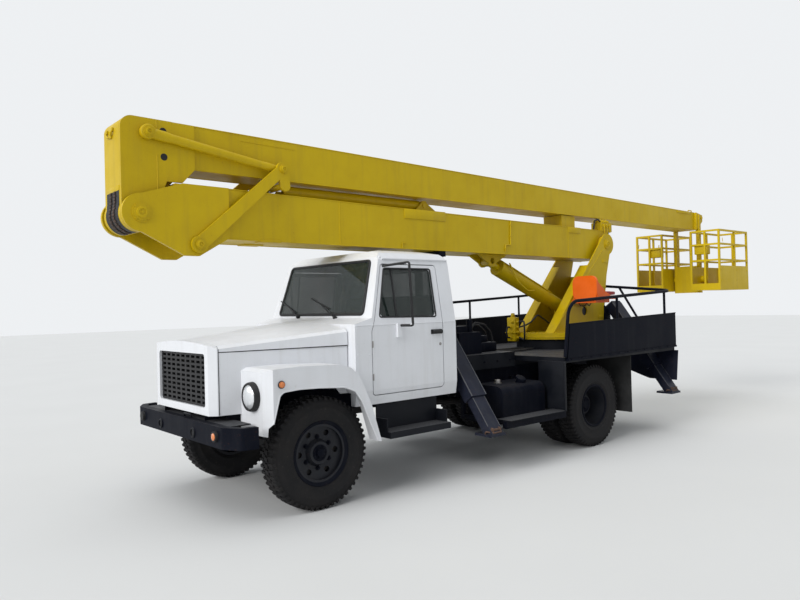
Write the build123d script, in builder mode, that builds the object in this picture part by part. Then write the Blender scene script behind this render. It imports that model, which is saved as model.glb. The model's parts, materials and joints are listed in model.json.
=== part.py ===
from build123d import *
from math import asin, atan2, cos, degrees, hypot, radians, sin
import os

# Cherry picker truck: a bonneted lorry with a slewing mast, two folding booms and a pair of cages.
# Millimetres. In the tables below x runs forward from the front axle, y to the left, z up from
# the ground. The finished part is moved along X so that the origin is under the middle of its box.

# Wheels and running gear
wheelbase = 3770
tyre_radius = 484
tyre_half_width = 114
bead_radius = 254
front_wheel_y = 815
twin_inner_y = 700
twin_outer_y = 990
kingpin_y = 640
kingpin_radius = 22
spindle_radius = 32
rear_spindle_radius = 45
running_clearance = 0.05
moving_gap = 6

# Frame
rail_outer_y = 432
rail_flange = 65
rail_plate = 10
rail_bottom = 750
rail_top = 980
rail_rear = -5440
bumper_front = 893
bumper_thick = 70
bumper_bottom = 645
bumper_top = 815

# Cab and nose
cab_front = -395
cab_rear = -1662
cab_half_width = 905
cab_floor_bottom = 1000
cab_wall = 34
belt_z = 1549
roof_z = 2295
gutter_z = 2170
gutter_half_width = 802
screen_foot = (-599, 1622)
screen_head = (-766, 2194)
door_front = -581
door_rear = -1485
door_bottom = 909
door_top = 2128
door_gap = 9
pillar = 30
nose_front = 842
nose_seam = 776
nose_half_width = 600
nose_bottom = 862
bonnet_front_z = 1435
bonnet_rear_z = 1529
bonnet_crown = 62
bonnet_rear_half_width = 800
bonnet_sheet = 22
wing_outer_y = 1062
wing_front = 590
wing_sheet = 20

# Deck behind the cab
beam_top = 1150
beam_half_width = 500
deck_front = -3040
deck_rear = -5451
deck_half_width = 1214
panel_outer_y = deck_half_width + 26
deck_floor = 1105
deck_floor_thick = 60
panel_top_front = 1473
panel_top_rear = 1540
rail_tube = 19

# Outriggers
leg_tilt = 54
sleeve_wall = 12
leg_half_x = 86
leg_depth = 98
leg_foot_y = 1185
sleeve_start = 400
foot_half = 110
foot_thick = 26
foot_outer_y = 1250
corner_plate_low = 640
front_leg = (-1878, 430, 1400)
rear_leg = (-5400, 500, 1680)

# Turntable and mast
slew_x = -4480
ring_radius = 570
ring_base_top = 1232
ring_bottom = 1238
ring_top = 1320
mast_pivot = (-5340, 2530)
mast_pivot_radius = 150
mast_pin_radius = 45
mast_outer_y = 311
mast_plate = 16
mast_flange = 140
mast_foot_front = -4048
mast_foot_rear = -5165

# Lower boom
knee_pivot = (1249, 2537)
knee_pin_radius = 50
lower_half_width = 230
lower_wall = 12
lower_end = 950
cheek_inner_y = 236
cheek_outer_y = 268
cheek_radius = 158
strut_pin = (770, 2292)
link_pin_radius = 28

# Upper boom
upper_half_width = 176
head_half_width = 200
head_plate = 18
upper_wall = 10
upper_tip = -8290
head_front = 1385
rod_pin = (1175, 3207)

# Knee linkage
link_joint = (-60, 3024)
ram_pin = (-80, 2872)
knee_base_pin = (-2030, 2862)
tie_inner_y = 208
tie_outer_y = 262
strut_inner_y = 275
strut_outer_y = 303

# Lift cylinder
lift_base_pin = (-4747, 1610)
lift_head_pin = (-3150, 2255)

# Cages
cage_front = -7875
cage_rear = -8918
cage_inner_y = 245
cage_outer_y = 740
cage_floor = 1855
cage_tray = 110
cage_top = 2843
cage_tube = 30
hanger_x = -8275
hanger_y = 203
basket_pivot_z = 2050
basket_pin_radius = 30

axle_x = -(knee_pivot[0] + cheek_radius + cage_rear) / 2
truck = Plane(origin=(axle_x, 0, 0))
os.makedirs("parts", exist_ok=True)


def across(y):
    """Side-view sketch plane at this y: local x forward of the front axle, local y up."""
    return Plane(origin=(axle_x, y, 0), x_dir=(1, 0, 0), z_dir=(0, -1, 0))


def level(z):
    """Plan-view sketch plane at this height."""
    return Plane(origin=(axle_x, 0, z))


def facing(x):
    """Front-view sketch plane at this x: local x to the left, local y up."""
    return Plane(origin=(axle_x + x, 0, 0), x_dir=(0, 1, 0), z_dir=(1, 0, 0))


def block(x, y, z, mode=Mode.ADD):
    """A box between two limits on each axis, added to the open part."""
    with Locations(((x[0] + x[1]) / 2, (y[0] + y[1]) / 2, (z[0] + z[1]) / 2)):
        Box(abs(x[1] - x[0]), abs(y[1] - y[0]), abs(z[1] - z[0]), mode=mode)


def bar_y(x, z, radius, y, mode=Mode.ADD):
    """A round bar along y between two limits, added to the open part."""
    with Locations(Location((x, (y[0] + y[1]) / 2, z), (90, 0, 0))):
        Cylinder(radius, abs(y[1] - y[0]), mode=mode)


def bar_x(y, z, radius, x, mode=Mode.ADD):
    """A round bar along x between two limits, added to the open part."""
    with Locations(Location(((x[0] + x[1]) / 2, y, z), (0, 90, 0))):
        Cylinder(radius, abs(x[1] - x[0]), mode=mode)


def bar_z(x, y, radius, z, mode=Mode.ADD):
    """A round bar along z between two limits, added to the open part."""
    with Locations((x, y, (z[0] + z[1]) / 2)):
        Cylinder(radius, abs(z[1] - z[0]), mode=mode)


def side_face(points, rounds=(), holes=(), blends=()):
    """A flat shape in side view at y = 0: a polygon, corners rounded, discs added to it, round holes cut."""
    with BuildSketch(across(0), mode=Mode.PRIVATE) as outline:
        with BuildLine():
            Polyline(*points, close=True)
        make_face()
        for x, z, radius in blends:
            fillet(outline.vertices().sort_by_distance((x, z, 0))[0], radius)
        for x, z, radius in rounds:
            with Locations((x, z)):
                Circle(radius)
        for x, z, radius in holes:
            with Locations((x, z)):
                Circle(radius, mode=Mode.SUBTRACT)
    return outline.sketch


def beam_points(start, end, start_half, end_half):
    """The four corners of a straight bar in side view between two points."""
    length = hypot(end[0] - start[0], end[1] - start[1])
    over_x = -(end[1] - start[1]) / length
    over_z = (end[0] - start[0]) / length
    return ((start[0] + over_x * start_half, start[1] + over_z * start_half),
            (end[0] + over_x * end_half, end[1] + over_z * end_half),
            (end[0] - over_x * end_half, end[1] - over_z * end_half),
            (start[0] - over_x * start_half, start[1] - over_z * start_half))


def slab(outline, half, mode=Mode.ADD):
    """A side-view shape given thickness evenly about the middle, added to the open part."""
    extrude(outline.moved(Location((0, half, 0))), amount=2 * half, mode=mode)


def plates(outline, inner, outer, mode=Mode.ADD):
    """A side-view shape given thickness between two distances from the middle, on both sides."""
    for far in (outer, -inner):
        extrude(outline.moved(Location((0, far, 0))), amount=outer - inner, mode=mode)


def toward(start, end):
    """Plane at a pin with its local z along the line to another pin, local x across the truck."""
    return Plane(origin=(axle_x + start[0], 0, start[1]), x_dir=(0, 1, 0),
                 z_dir=(end[0] - start[0], 0, end[1] - start[1]))


def rod_along(radius, near, far, mode=Mode.ADD):
    """A round bar along local z between two distances, added to the open part."""
    with Locations((0, 0, (near + far) / 2)):
        Cylinder(radius, far - near, mode=mode)


def eye_across(distance, radius, half, mode=Mode.ADD):
    """A round eye across local z at a distance along it, added to the open part."""
    with Locations(Location((0, 0, distance), (0, 90, 0))):
        Cylinder(radius, 2 * half, mode=mode)


def save(builder, name):
    """Label a finished piece and write it."""
    builder.part.label = name
    export_step(builder.part, "parts/" + name + ".step")


def lower_top(x):
    """Height of the lower boom's top face."""
    return 2788 + 0.0129 * (x + 529)


def lower_bottom(x):
    """Height of the lower boom's bottom face."""
    return 2356 + 0.007 * (x - 346)


def upper_top(x):
    """Height of the upper boom's top face."""
    return 3335 + 0.0155 * (x - 1290)


def upper_bottom(x):
    """Height of the upper boom's bottom face."""
    return 2939 + 0.0058 * (x + 774)


# Frame rails: two channels open inwards, joined by cross members
bumper_back = bumper_front - bumper_thick
with BuildPart(truck) as frame_rails:
    for side in (-1, 1):
        outer = side * rail_outer_y
        web = side * (rail_outer_y - rail_plate)
        inner = side * (rail_outer_y - rail_flange)
        block((rail_rear, bumper_back), (web, outer), (rail_bottom, rail_top))
        block((rail_rear, bumper_back), (inner, outer), (rail_bottom, rail_bottom + rail_plate))
        block((rail_rear, bumper_back), (inner, outer), (rail_top - rail_plate, rail_top))
    for x, width in ((540, 80), (-1150, 80), (-2000, 80), (-2700, 90), (-3350, 80), (-4250, 80), (-5360, 80)):
        web = rail_outer_y - rail_plate
        block((x - width / 2, x + width / 2), (-web, web), (rail_bottom + rail_plate, rail_bottom + 90))
    block((nose_seam - 6, bumper_front), (-rail_outer_y - 5, rail_outer_y + 5), (nose_bottom - 6, rail_top + 5),
          Mode.SUBTRACT)
save(frame_rails, "frame_rails")

# Bumper: one band bent back at its corners
with BuildPart() as front_bumper:
    with BuildSketch(level(bumper_bottom)):
        with BuildLine():
            FilletPolyline(
                (672, -1066), (806, -1040), (bumper_front, -879), (bumper_front, 879), (806, 1040), (672, 1066),
                radius=60)
            FilletPolyline(
                (672, 1012), (768, 990), (bumper_back, 846), (bumper_back, -846), (768, -990), (672, -1012),
                radius=40)
            Line((672, 1066), (672, 1012))
            Line((672, -1012), (672, -1066))
        make_face()
    extrude(amount=bumper_top - bumper_bottom)
save(front_bumper, "front_bumper")

# Engine block and the gearbox behind it, between the rails, and the radiator in front
engine_x = (-370, 440)
engine_z = (640, 1250)
radiator_x = (600, 660)
gearbox_rear = -1050
with BuildPart(truck) as engine:
    block(engine_x, (-250, 250), engine_z)
    block((gearbox_rear, engine_x[0]), (-170, 170), (640, 960))
    block(radiator_x, (-400, 400), (rail_top, 1360))
save(engine, "engine")

rear_axle_x = -wheelbase
axle_nose_x = rear_axle_x + 330

# Leaf springs: four arched packs over the axles, with eyes up to the rails
spring_inner_y = 345
spring_outer_y = 420
spring_eye_z = rail_bottom - 50
front_seat_z = tyre_radius + 61
rear_seat_z = tyre_radius + 86
with BuildPart() as springs:
    for middle_x, reach, seat_z in ((0, 560, front_seat_z), (rear_axle_x, 640, rear_seat_z)):
        for side in (-1, 1):
            near_y = side * spring_outer_y if side > 0 else side * spring_inner_y
            with BuildSketch(across(near_y)):
                with BuildLine():
                    ThreePointArc((middle_x - reach, spring_eye_z + 12), (middle_x, seat_z + 52),
                                  (middle_x + reach, spring_eye_z + 12))
                    Line((middle_x + reach, spring_eye_z + 12), (middle_x + reach, spring_eye_z - 12))
                    ThreePointArc((middle_x + reach, spring_eye_z - 12), (middle_x, seat_z),
                                  (middle_x - reach, spring_eye_z - 12))
                    Line((middle_x - reach, spring_eye_z - 12), (middle_x - reach, spring_eye_z + 12))
                make_face()
                with Locations((middle_x - reach + 35, rail_bottom - 35), (middle_x + reach - 35, rail_bottom - 35)):
                    Rectangle(70, 70)
            extrude(amount=spring_outer_y - spring_inner_y)
save(springs, "springs")

# Front axle beam, dropped between its upright ends, with a bore for each kingpin
beam_end_radius = 46
beam_end_half = 62
with BuildPart(truck) as front_axle:
    block((-45, 45), (-470, 470), (tyre_radius - 59, front_seat_z))
    for side in (-1, 1):
        block((-38, 38), (side * 460, side * (kingpin_y - 20)),
              (tyre_radius - beam_end_half + 5, tyre_radius + beam_end_half - 5))
        bar_z(0, side * kingpin_y, beam_end_radius, (tyre_radius - beam_end_half, tyre_radius + beam_end_half))
    for side in (-1, 1):
        bar_z(0, side * kingpin_y, kingpin_radius + running_clearance,
              (tyre_radius - beam_end_half - 5, tyre_radius + beam_end_half + 5), Mode.SUBTRACT)
save(front_axle, "front_axle")

# Knuckles: a fork above and below the beam end, the kingpin, the spindle and the brake drum
fork_gap = 5
spindle_end = front_wheel_y + 60
for side, word in ((1, "left"), (-1, "right")):
    with BuildPart(truck) as knuckle:
        for low, high in ((tyre_radius - 104, tyre_radius - beam_end_half - fork_gap),
                          (tyre_radius + beam_end_half + fork_gap, tyre_radius + 104)):
            bar_z(0, side * kingpin_y, beam_end_radius, (low, high))
            block((-40, 40), (side * kingpin_y, side * 712), (low, high))
        bar_z(0, side * kingpin_y, kingpin_radius, (tyre_radius - 104, tyre_radius + 104))
        bar_y(0, tyre_radius, 120, (side * 692, side * 716))
        bar_y(0, tyre_radius, spindle_radius, (side * 700, side * spindle_end))
    save(knuckle, "knuckle_" + word)

# Front wheels: a dished disc on a hub that turns on the spindle, a rim, and the tyre on it
rim_half = 92
rim_sheet = 10
disc_thick = 14
with BuildPart() as rim_shape:
    with BuildSketch(Plane.YZ):
        with BuildLine():
            Polyline((-rim_half, bead_radius), (rim_half, bead_radius), (rim_half, bead_radius - 26),
                     (rim_half - 12, bead_radius - 26), (rim_half - 20, bead_radius - rim_sheet),
                     (52, bead_radius - rim_sheet), (34, 150), (34, 118), (76, 96),
                     (76, spindle_radius + running_clearance),
                     (-60, spindle_radius + running_clearance), (-60, 78), (18, 78), (18, 150),
                     (34, bead_radius - rim_sheet), (-rim_half + 20, bead_radius - rim_sheet),
                     (-rim_half + 12, bead_radius - 26), (-rim_half, bead_radius - 26),
                     (-rim_half, bead_radius))
        make_face()
    revolve(axis=Axis.Y)
    with Locations(Location((0, 0, 0), (90, 0, 0))):
        with PolarLocations(182, 6):
            Cylinder(26, 140, mode=Mode.SUBTRACT)

# Rear twin wheels: two deep-dished discs back to back on one hub, each with its rim
twin_half = (twin_outer_y - twin_inner_y) / 2
with BuildPart() as twin_shape:
    with BuildSketch(Plane.YZ):
        for middle, out in ((-twin_half, 1), (twin_half, -1)):
            with BuildLine():
                Polyline((middle - out * rim_half, bead_radius), (middle + out * rim_half, bead_radius),
                         (middle + out * rim_half, bead_radius - 26), (out * -8, bead_radius - rim_sheet - 40),
                         (out * -8, 70), (out * -22, 70), (out * -22, bead_radius - rim_sheet - 48),
                         (middle - out * (rim_half - 12), bead_radius - 26),
                         (middle - out * rim_half, bead_radius - 26),
                         (middle - out * rim_half, bead_radius))
            make_face()
        with Locations((-20, (110 + rear_spindle_radius + running_clearance) / 2)):
            Rectangle(250, 110 - rear_spindle_radius - running_clearance)
    revolve(axis=Axis.Y)

# Tyre: tread, two shoulders, two walls and the bore that sits on the rim
with BuildPart() as tyre_shape:
    with BuildSketch(Plane.YZ):
        with BuildLine():
            Polyline((-88, bead_radius), (-tyre_half_width, 395), (-84, tyre_radius), (84, tyre_radius),
                     (tyre_half_width, 395), (88, bead_radius), (-88, bead_radius))
        make_face()
    revolve(axis=Axis.Y)

for side, word in ((1, "left"), (-1, "right")):
    turn = 0 if side > 0 else 180
    with BuildPart(truck) as rim_front:
        with Locations(Location((0, side * front_wheel_y, tyre_radius), (0, 0, turn))):
            add(rim_shape.part)
    save(rim_front, "rim_front_" + word)
    with BuildPart(truck) as tyre_front:
        with Locations((0, side * front_wheel_y, tyre_radius)):
            add(tyre_shape.part)
    save(tyre_front, "tyre_front_" + word)
    with BuildPart(truck) as rims_rear:
        with Locations(Location((rear_axle_x, side * (twin_inner_y + twin_half), tyre_radius), (0, 0, turn))):
            add(twin_shape.part)
    save(rims_rear, "rims_rear_" + word)
    with BuildPart(truck) as tyres_rear:
        with Locations((rear_axle_x, side * twin_inner_y, tyre_radius),
                       (rear_axle_x, side * twin_outer_y, tyre_radius)):
            add(tyre_shape.part)
    save(tyres_rear, "tyres_rear_" + word)

# Rear axle: a tube with the round final drive, a spindle at each end, and the propeller shaft
drum_y = twin_inner_y - 60
shaft_start = (gearbox_rear - 15, 700)
shaft_end_z = tyre_radius + 20
shaft_run = hypot(axle_nose_x - shaft_start[0], shaft_end_z - shaft_start[1])
with BuildPart(truck) as rear_axle:
    bar_y(rear_axle_x, tyre_radius, 62, (-drum_y, drum_y))
    bar_x(60, tyre_radius, 185, (rear_axle_x - 70, rear_axle_x + 70))
    bar_y(rear_axle_x, tyre_radius, 150, (-60, 190))
    bar_x(0, tyre_radius, 85, (rear_axle_x, axle_nose_x + 25))
    for side in (-1, 1):
        bar_y(rear_axle_x, tyre_radius, 170, (side * (drum_y - 120), side * drum_y))
        bar_y(rear_axle_x, tyre_radius, rear_spindle_radius, (side * drum_y, side * (twin_outer_y - 20)))
        block((rear_axle_x - 60, rear_axle_x + 60), (side * spring_inner_y, side * spring_outer_y),
              (tyre_radius, rear_seat_z - 1))
    with BuildSketch(Plane(origin=(axle_x + shaft_start[0], 0, shaft_start[1]),
                           z_dir=(axle_nose_x - shaft_start[0], 0, shaft_end_z - shaft_start[1]))):
        Circle(42)
    extrude(amount=shaft_run)
save(rear_axle, "rear_axle")


def cab_block(ends_inset, sides_inset):
    """The cab's closed form, with its ends and roof, and its sides, drawn in by these amounts."""
    with BuildPart() as form:
        with BuildSketch(across(0)):
            with BuildLine():
                Polyline((cab_front, 830), (cab_front, 1570), screen_foot, screen_head, (-850, 2262),
                         (-1100, roof_z), (-1560, 2276), (cab_rear + 12, 2215), (cab_rear, 2120),
                         (cab_rear, 830), (cab_front, 830))
            make_face()
            if ends_inset:
                offset(amount=-ends_inset, kind=Kind.INTERSECTION, mode=Mode.REPLACE)
        extrude(amount=cab_half_width, both=True)
        with BuildSketch(facing(0)):
            with BuildLine():
                outline = Polyline((-cab_half_width + 22, 830), (-cab_half_width, 960), (-cab_half_width, belt_z),
                                   (-gutter_half_width, gutter_z), (-730, 2240), (-480, 2284), (0, roof_z + 5),
                                   (480, 2284), (730, 2240), (gutter_half_width, gutter_z),
                                   (cab_half_width, belt_z), (cab_half_width, 960), (cab_half_width - 22, 830),
                                   (-cab_half_width + 22, 830))
            make_face()
            if sides_inset:
                offset(amount=-sides_inset, kind=Kind.INTERSECTION, mode=Mode.REPLACE)
        extrude(amount=2000, both=True, mode=Mode.INTERSECT)
    return form.part


def door_sketch(gap):
    """The door's outline in side view, drawn in by a gap."""
    with BuildSketch(across(0), mode=Mode.PRIVATE) as outline:
        with BuildLine():
            Polyline((door_front, door_bottom), (door_front, belt_z - 50), (screen_foot[0] - pillar, screen_foot[1]),
                     (screen_head[0] - pillar + 19, door_top), (door_rear, door_top), (door_rear, door_bottom),
                     (door_front, door_bottom))
        make_face()
        vertices = outline.vertices()
        fillet(vertices, 40)
        if gap:
            offset(amount=-gap, kind=Kind.ARC, mode=Mode.REPLACE)
    return outline.sketch


cab_outside = cab_block(0, 0)
cab_inside = cab_block(cab_wall, cab_wall)
cab_core = cab_block(0, cab_wall)
door_hole = door_sketch(0)
door_leaf = door_sketch(door_gap)

# Cab shell: floor, cowl, pillars, roof and back wall, open at the doors and windows
screen_lean = degrees(atan2(screen_foot[0] - screen_head[0], screen_head[1] - screen_foot[1]))
screen_middle = ((screen_foot[0] + screen_head[0]) / 2, (screen_foot[1] + screen_head[1]) / 2)
screen_height = hypot(screen_head[0] - screen_foot[0], screen_head[1] - screen_foot[1]) - 70
screen_plane = Plane(origin=(axle_x + screen_middle[0], 0, screen_middle[1]), x_dir=(0, 1, 0),
                     z_dir=(cos(radians(screen_lean)), 0, sin(radians(screen_lean))))


def screen_outline(grow):
    """The windscreen opening in its own sloping plane, grown or drawn in."""
    foot = 1500 / 2 + grow
    head = 1390 / 2 + grow
    half = screen_height / 2 + grow
    with BuildSketch(screen_plane, mode=Mode.PRIVATE) as outline:
        with BuildLine():
            Polyline((-foot, -half), (foot, -half), (head, half), (-head, half), (-foot, -half))
        make_face()
        fillet(outline.vertices(), 70)
    return outline.sketch


rear_window = (1100, 380)
rear_window_z = 1900
with BuildPart() as cab_room:
    add(cab_inside)
    with Locations((axle_x, 0, (cab_floor_bottom + cab_wall) / 2)):
        Box(4000, 2000, cab_floor_bottom + cab_wall, mode=Mode.SUBTRACT)
with BuildPart() as door_ways:
    extrude(door_hole, amount=1200, both=True)
    add(cab_core, mode=Mode.SUBTRACT)
with BuildPart() as cab_shell:
    add(cab_outside)
    add(cab_room.part, mode=Mode.SUBTRACT)
    with Locations((axle_x, 0, (cab_floor_bottom + 700) / 2)):
        Box(4000, 1640, cab_floor_bottom - 700, mode=Mode.SUBTRACT)
    add(door_ways.part, mode=Mode.SUBTRACT)
    extrude(screen_outline(0), amount=120, both=True, mode=Mode.SUBTRACT)
    with BuildSketch(facing(cab_rear - 20)):
        with Locations((0, rear_window_z)):
            RectangleRounded(rear_window[0], rear_window[1], 60)
    extrude(amount=80, mode=Mode.SUBTRACT)
save(cab_shell, "cab_shell")

# Doors: the cab's own wall inside the door opening, with the window cut, a handle and a mirror arm
window_points = [(-688, 1626), (-808, 2084), (-1402, 2084), (-1402, 1612)]
mirror_arm = 9
glass_inset = 14
glass_thick = 5
with BuildSketch(across(0)) as window_hole:
    with BuildLine():
        Polyline(*window_points, close=True)
    make_face()
    fillet(window_hole.vertices(), 45)
with BuildSketch(across(0)) as window_pane:
    with BuildLine():
        Polyline(*window_points, close=True)
    make_face()
    fillet(window_pane.vertices(), 45)
    offset(amount=-0.5, kind=Kind.ARC, mode=Mode.REPLACE)
cab_pane_outside = cab_block(0, glass_inset)
cab_pane_inside = cab_block(0, glass_inset + glass_thick)
for side, word in ((1, "left"), (-1, "right")):
    half_space = Location((axle_x, side * 1000, 1500))
    with BuildPart() as door:
        add(cab_outside)
        add(cab_core, mode=Mode.SUBTRACT)
        extrude(door_leaf, amount=1200, both=True, mode=Mode.INTERSECT)
        extrude(window_hole.sketch, amount=1200, both=True, mode=Mode.SUBTRACT)
        with Locations(half_space):
            Box(4000, 2000, 2000, mode=Mode.INTERSECT)
        with Locations((axle_x - 1395, side * (cab_half_width + 14), 1462)):
            Box(120, 28, 26)
    reach = side * 1050
    with BuildPart() as mirror:
        with BuildLine():
            FilletPolyline((axle_x - 800, side * 800, 2104), (axle_x - 929, reach, 2130),
                           (axle_x - 960, reach, 1541), (axle_x - 896, side * 890, 1541), radius=38)
        with BuildSketch(Plane(origin=(axle_x - 800, side * 800, 2104), z_dir=(-129, side * 250, 26))):
            Circle(mirror_arm)
        sweep()
        with Locations((axle_x - 898, side * (cab_half_width + 10), 1496)):
            Box(50, 40, 128)
        add(cab_core, mode=Mode.SUBTRACT)
    with BuildPart() as mirrored_door:
        add(door.part)
        add(mirror.part)
    save(mirrored_door, "door_" + word)
    with BuildPart() as door_glass:
        add(cab_pane_outside)
        add(cab_pane_inside, mode=Mode.SUBTRACT)
        extrude(window_pane.sketch, amount=1200, both=True, mode=Mode.INTERSECT)
        with Locations(half_space):
            Box(4000, 2000, 2000, mode=Mode.INTERSECT)
    save(door_glass, "door_glass_" + word)

# Windscreen and back window: one sheet of glass each, set in their openings
with BuildPart() as cab_glass:
    extrude(screen_outline(-0.5), amount=glass_thick)
    with BuildSketch(facing(cab_rear + 10)):
        with Locations((0, rear_window_z)):
            RectangleRounded(rear_window[0] - 1, rear_window[1] - 1, 59)
    extrude(amount=glass_thick)
save(cab_glass, "cab_glass")

# Seats: a wide bench with its back
with BuildPart(truck) as cab_seats:
    block((-1480, -1000), (-720, 720), (1180, 1330))
    block((-1590, -1440), (-720, 720), (1330, 1830))
    block((-1460, -1060), (-640, 640), (cab_floor_bottom + cab_wall, 1180))
save(cab_seats, "cab_seats")

# Dashboard, steering column and wheel
wheel_centre = (-905, 380, 1600)
with BuildPart(truck) as dashboard:
    block((-600, cab_front - cab_wall), (-800, 800), (1330, 1490))
with BuildPart(Plane(origin=(axle_x + wheel_centre[0], wheel_centre[1], wheel_centre[2]),
                     x_dir=(0, 1, 0), z_dir=(-0.5, 0, 0.866))) as steering_wheel:
    Torus(200, 14)
    with PolarLocations(100, 3):
        Box(200, 24, 10)
    with Locations((0, 0, -190)):
        Cylinder(26, 400)
with BuildPart() as controls:
    add(dashboard.part)
    add(steering_wheel.part)
save(controls, "dashboard")

# Nose: the frame round the grille, crowned like the bonnet behind it
grille_half = 484
grille_low = 925
grille_high = 1368
with BuildPart() as nose:
    with BuildSketch(level(nose_bottom)):
        with BuildLine():
            FilletPolyline((nose_seam, -nose_half_width), (nose_seam + 8, -nose_half_width),
                           (nose_front, -545), (nose_front, 545),
                           (nose_seam + 8, nose_half_width), (nose_seam, nose_half_width), radius=6)
            Line((nose_seam, nose_half_width), (nose_seam, -nose_half_width))
        make_face()
    extrude(amount=700)
    with BuildSketch(facing(nose_seam - 10)):
        with BuildLine():
            Polyline((-nose_half_width + 34, bonnet_front_z), (-nose_half_width, bonnet_front_z - 26),
                     (-nose_half_width, nose_bottom), (nose_half_width, nose_bottom),
                     (nose_half_width, bonnet_front_z - 26), (nose_half_width - 34, bonnet_front_z))
            ThreePointArc((-nose_half_width + 34, bonnet_front_z), (0, bonnet_front_z + bonnet_crown - 30),
                          (nose_half_width - 34, bonnet_front_z))
        make_face()
    extrude(amount=200, mode=Mode.INTERSECT)
    with BuildSketch(facing(nose_front + 10)):
        with Locations((0, (grille_low + grille_high) / 2)):
            RectangleRounded(2 * grille_half, grille_high - grille_low, 28)
    extrude(amount=-200, mode=Mode.SUBTRACT)
save(nose, "nose")

# Grille: a slotted plate set back in the nose
slot_rows = 10
slot_columns = 9
slot_pitch_z = 42
slot_pitch_y = 104
with BuildPart() as grille:
    with BuildSketch(facing(nose_front - 48)):
        with Locations((0, (grille_low + grille_high) / 2)):
            RectangleRounded(2 * grille_half - 1, grille_high - grille_low - 1, 27.5)
    extrude(amount=26)
    with BuildSketch(facing(nose_front - 49)):
        with Locations((0, (grille_low + grille_high) / 2)):
            with GridLocations(slot_pitch_y, slot_pitch_z, slot_columns, slot_rows):
                Rectangle(slot_pitch_y - 34, slot_pitch_z - 20)
    extrude(amount=40, mode=Mode.SUBTRACT)
save(grille, "grille")

# Bonnet: a crowned lid with side skirts, a shell of even thickness, hinged at its rear edge
bonnet_rear = cab_front + 9
bonnet_front = nose_seam - 6
seam_z = 1384


def bonnet_form(sheet):
    """The bonnet's outer form, or the space under its sheet."""
    with BuildPart() as form:
        for x, half, edge, crown in ((bonnet_rear, bonnet_rear_half_width, bonnet_rear_z, bonnet_crown + 12),
                                     (bonnet_front, nose_half_width, bonnet_front_z, bonnet_crown - 30)):
            side = half - sheet
            with BuildSketch(facing(x)):
                with BuildLine():
                    Polyline((-side + 34, edge - sheet), (-side, edge - sheet - 26), (-side, seam_z - sheet),
                             (side, seam_z - sheet), (side, edge - sheet - 26), (side - 34, edge - sheet))
                    ThreePointArc((-side + 34, edge - sheet), (0, edge + crown - sheet), (side - 34, edge - sheet))
                make_face()
        loft()
    return form.part


with BuildPart() as bonnet:
    add(bonnet_form(0))
    add(bonnet_form(bonnet_sheet), mode=Mode.SUBTRACT)
    with Locations((axle_x, 0, seam_z - 50)):
        Box(4000, 2000, 100, mode=Mode.SUBTRACT)
save(bonnet, "bonnet")

# Wings: an arched sheet over each front wheel, and the upright panel from it up to the bonnet's edge
panel_thick_cheek = 14
wing_line = ((wing_front - 48, 1247), (285, 1254), (-111, 1240), (-236, 1201), (-320, 1125), (-444, 860),
             (-546, 528))
wing_under = ((wing_front - 52, 1227), (285, 1234), (-106, 1220), (-224, 1184), (-303, 1114), (-425, 852),
              (-527, 520))
arch_line = ((wing_front - 27, 781), (wing_front - 52, 815), (476, 1034), (439, 1062), (290, 1072), (96, 1065),
             (-158, 1045), (-273, 1000), (-346, 897), (-439, 685), (-502, 552))
wing_outside = side_face(((wing_front, 716), (wing_front, 1222)) + wing_line)
wing_inside = side_face(((wing_front - wing_sheet, 400), (wing_front - wing_sheet, 1208)) + wing_under
                        + ((-535, 400),))
wheel_arch = side_face(((wing_front - 18, 400), (wing_front - 18, 600)) + arch_line + ((-515, 400),))
wing_corner = (wing_front - 54, 985)
steer_room_top = 950
for side, word in ((1, "left"), (-1, "right")):
    outer = side * wing_outer_y
    inner = side * (wing_outer_y - wing_sheet)
    front_y = side * (nose_half_width - 2)
    rear_y = side * (bonnet_rear_half_width - 8)
    with BuildPart() as wing_room:
        extrude(wing_inside, amount=-inner)
        with BuildSketch(level(300)):
            with BuildLine():
                Polyline((wing_front - wing_sheet, 0), (wing_front - wing_sheet, side * (wing_corner[1] - 12)),
                         (wing_corner[0] - 12, inner), (-700, inner), (-700, 0), (wing_front - wing_sheet, 0))
            make_face()
        extrude(amount=1200, mode=Mode.INTERSECT)
    with BuildPart() as wing:
        extrude(wing_outside, amount=-outer)
        add(wing_room.part, mode=Mode.SUBTRACT)
        with BuildSketch(level(300)):
            with BuildLine():
                Polyline((wing_front, side * 612), (wing_front, side * wing_corner[1]), (wing_corner[0], outer),
                         (-640, outer),
                         (-640, side * (cab_half_width + 6)), (bonnet_rear + 3, side * (cab_half_width + 6)),
                         (bonnet_rear, rear_y - side * 8), (wing_front, side * 612))
            make_face()
        extrude(amount=1200, mode=Mode.INTERSECT)
        with BuildSketch(level(nose_bottom)):
            with BuildLine():
                Polyline((nose_seam, front_y), (bonnet_rear, rear_y),
                         (bonnet_rear, rear_y - side * panel_thick_cheek),
                         (nose_seam, front_y - side * panel_thick_cheek), (nose_seam, front_y))
            make_face()
        extrude(amount=seam_z - 6 - nose_bottom)
        extrude(wheel_arch, amount=1200, both=True, mode=Mode.SUBTRACT)
        with BuildSketch(level(nose_bottom - 5)):
            with BuildLine():
                Polyline((bonnet_rear - 5, side * 700), (-300, side * 700), (-300, side * (cab_half_width - 60)),
                         (bonnet_rear - 5, side * (cab_half_width - 60)), (bonnet_rear - 5, side * 700))
            make_face()
        extrude(amount=steer_room_top - nose_bottom + 5, mode=Mode.SUBTRACT)
    save(wing, "wing_" + word)

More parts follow.
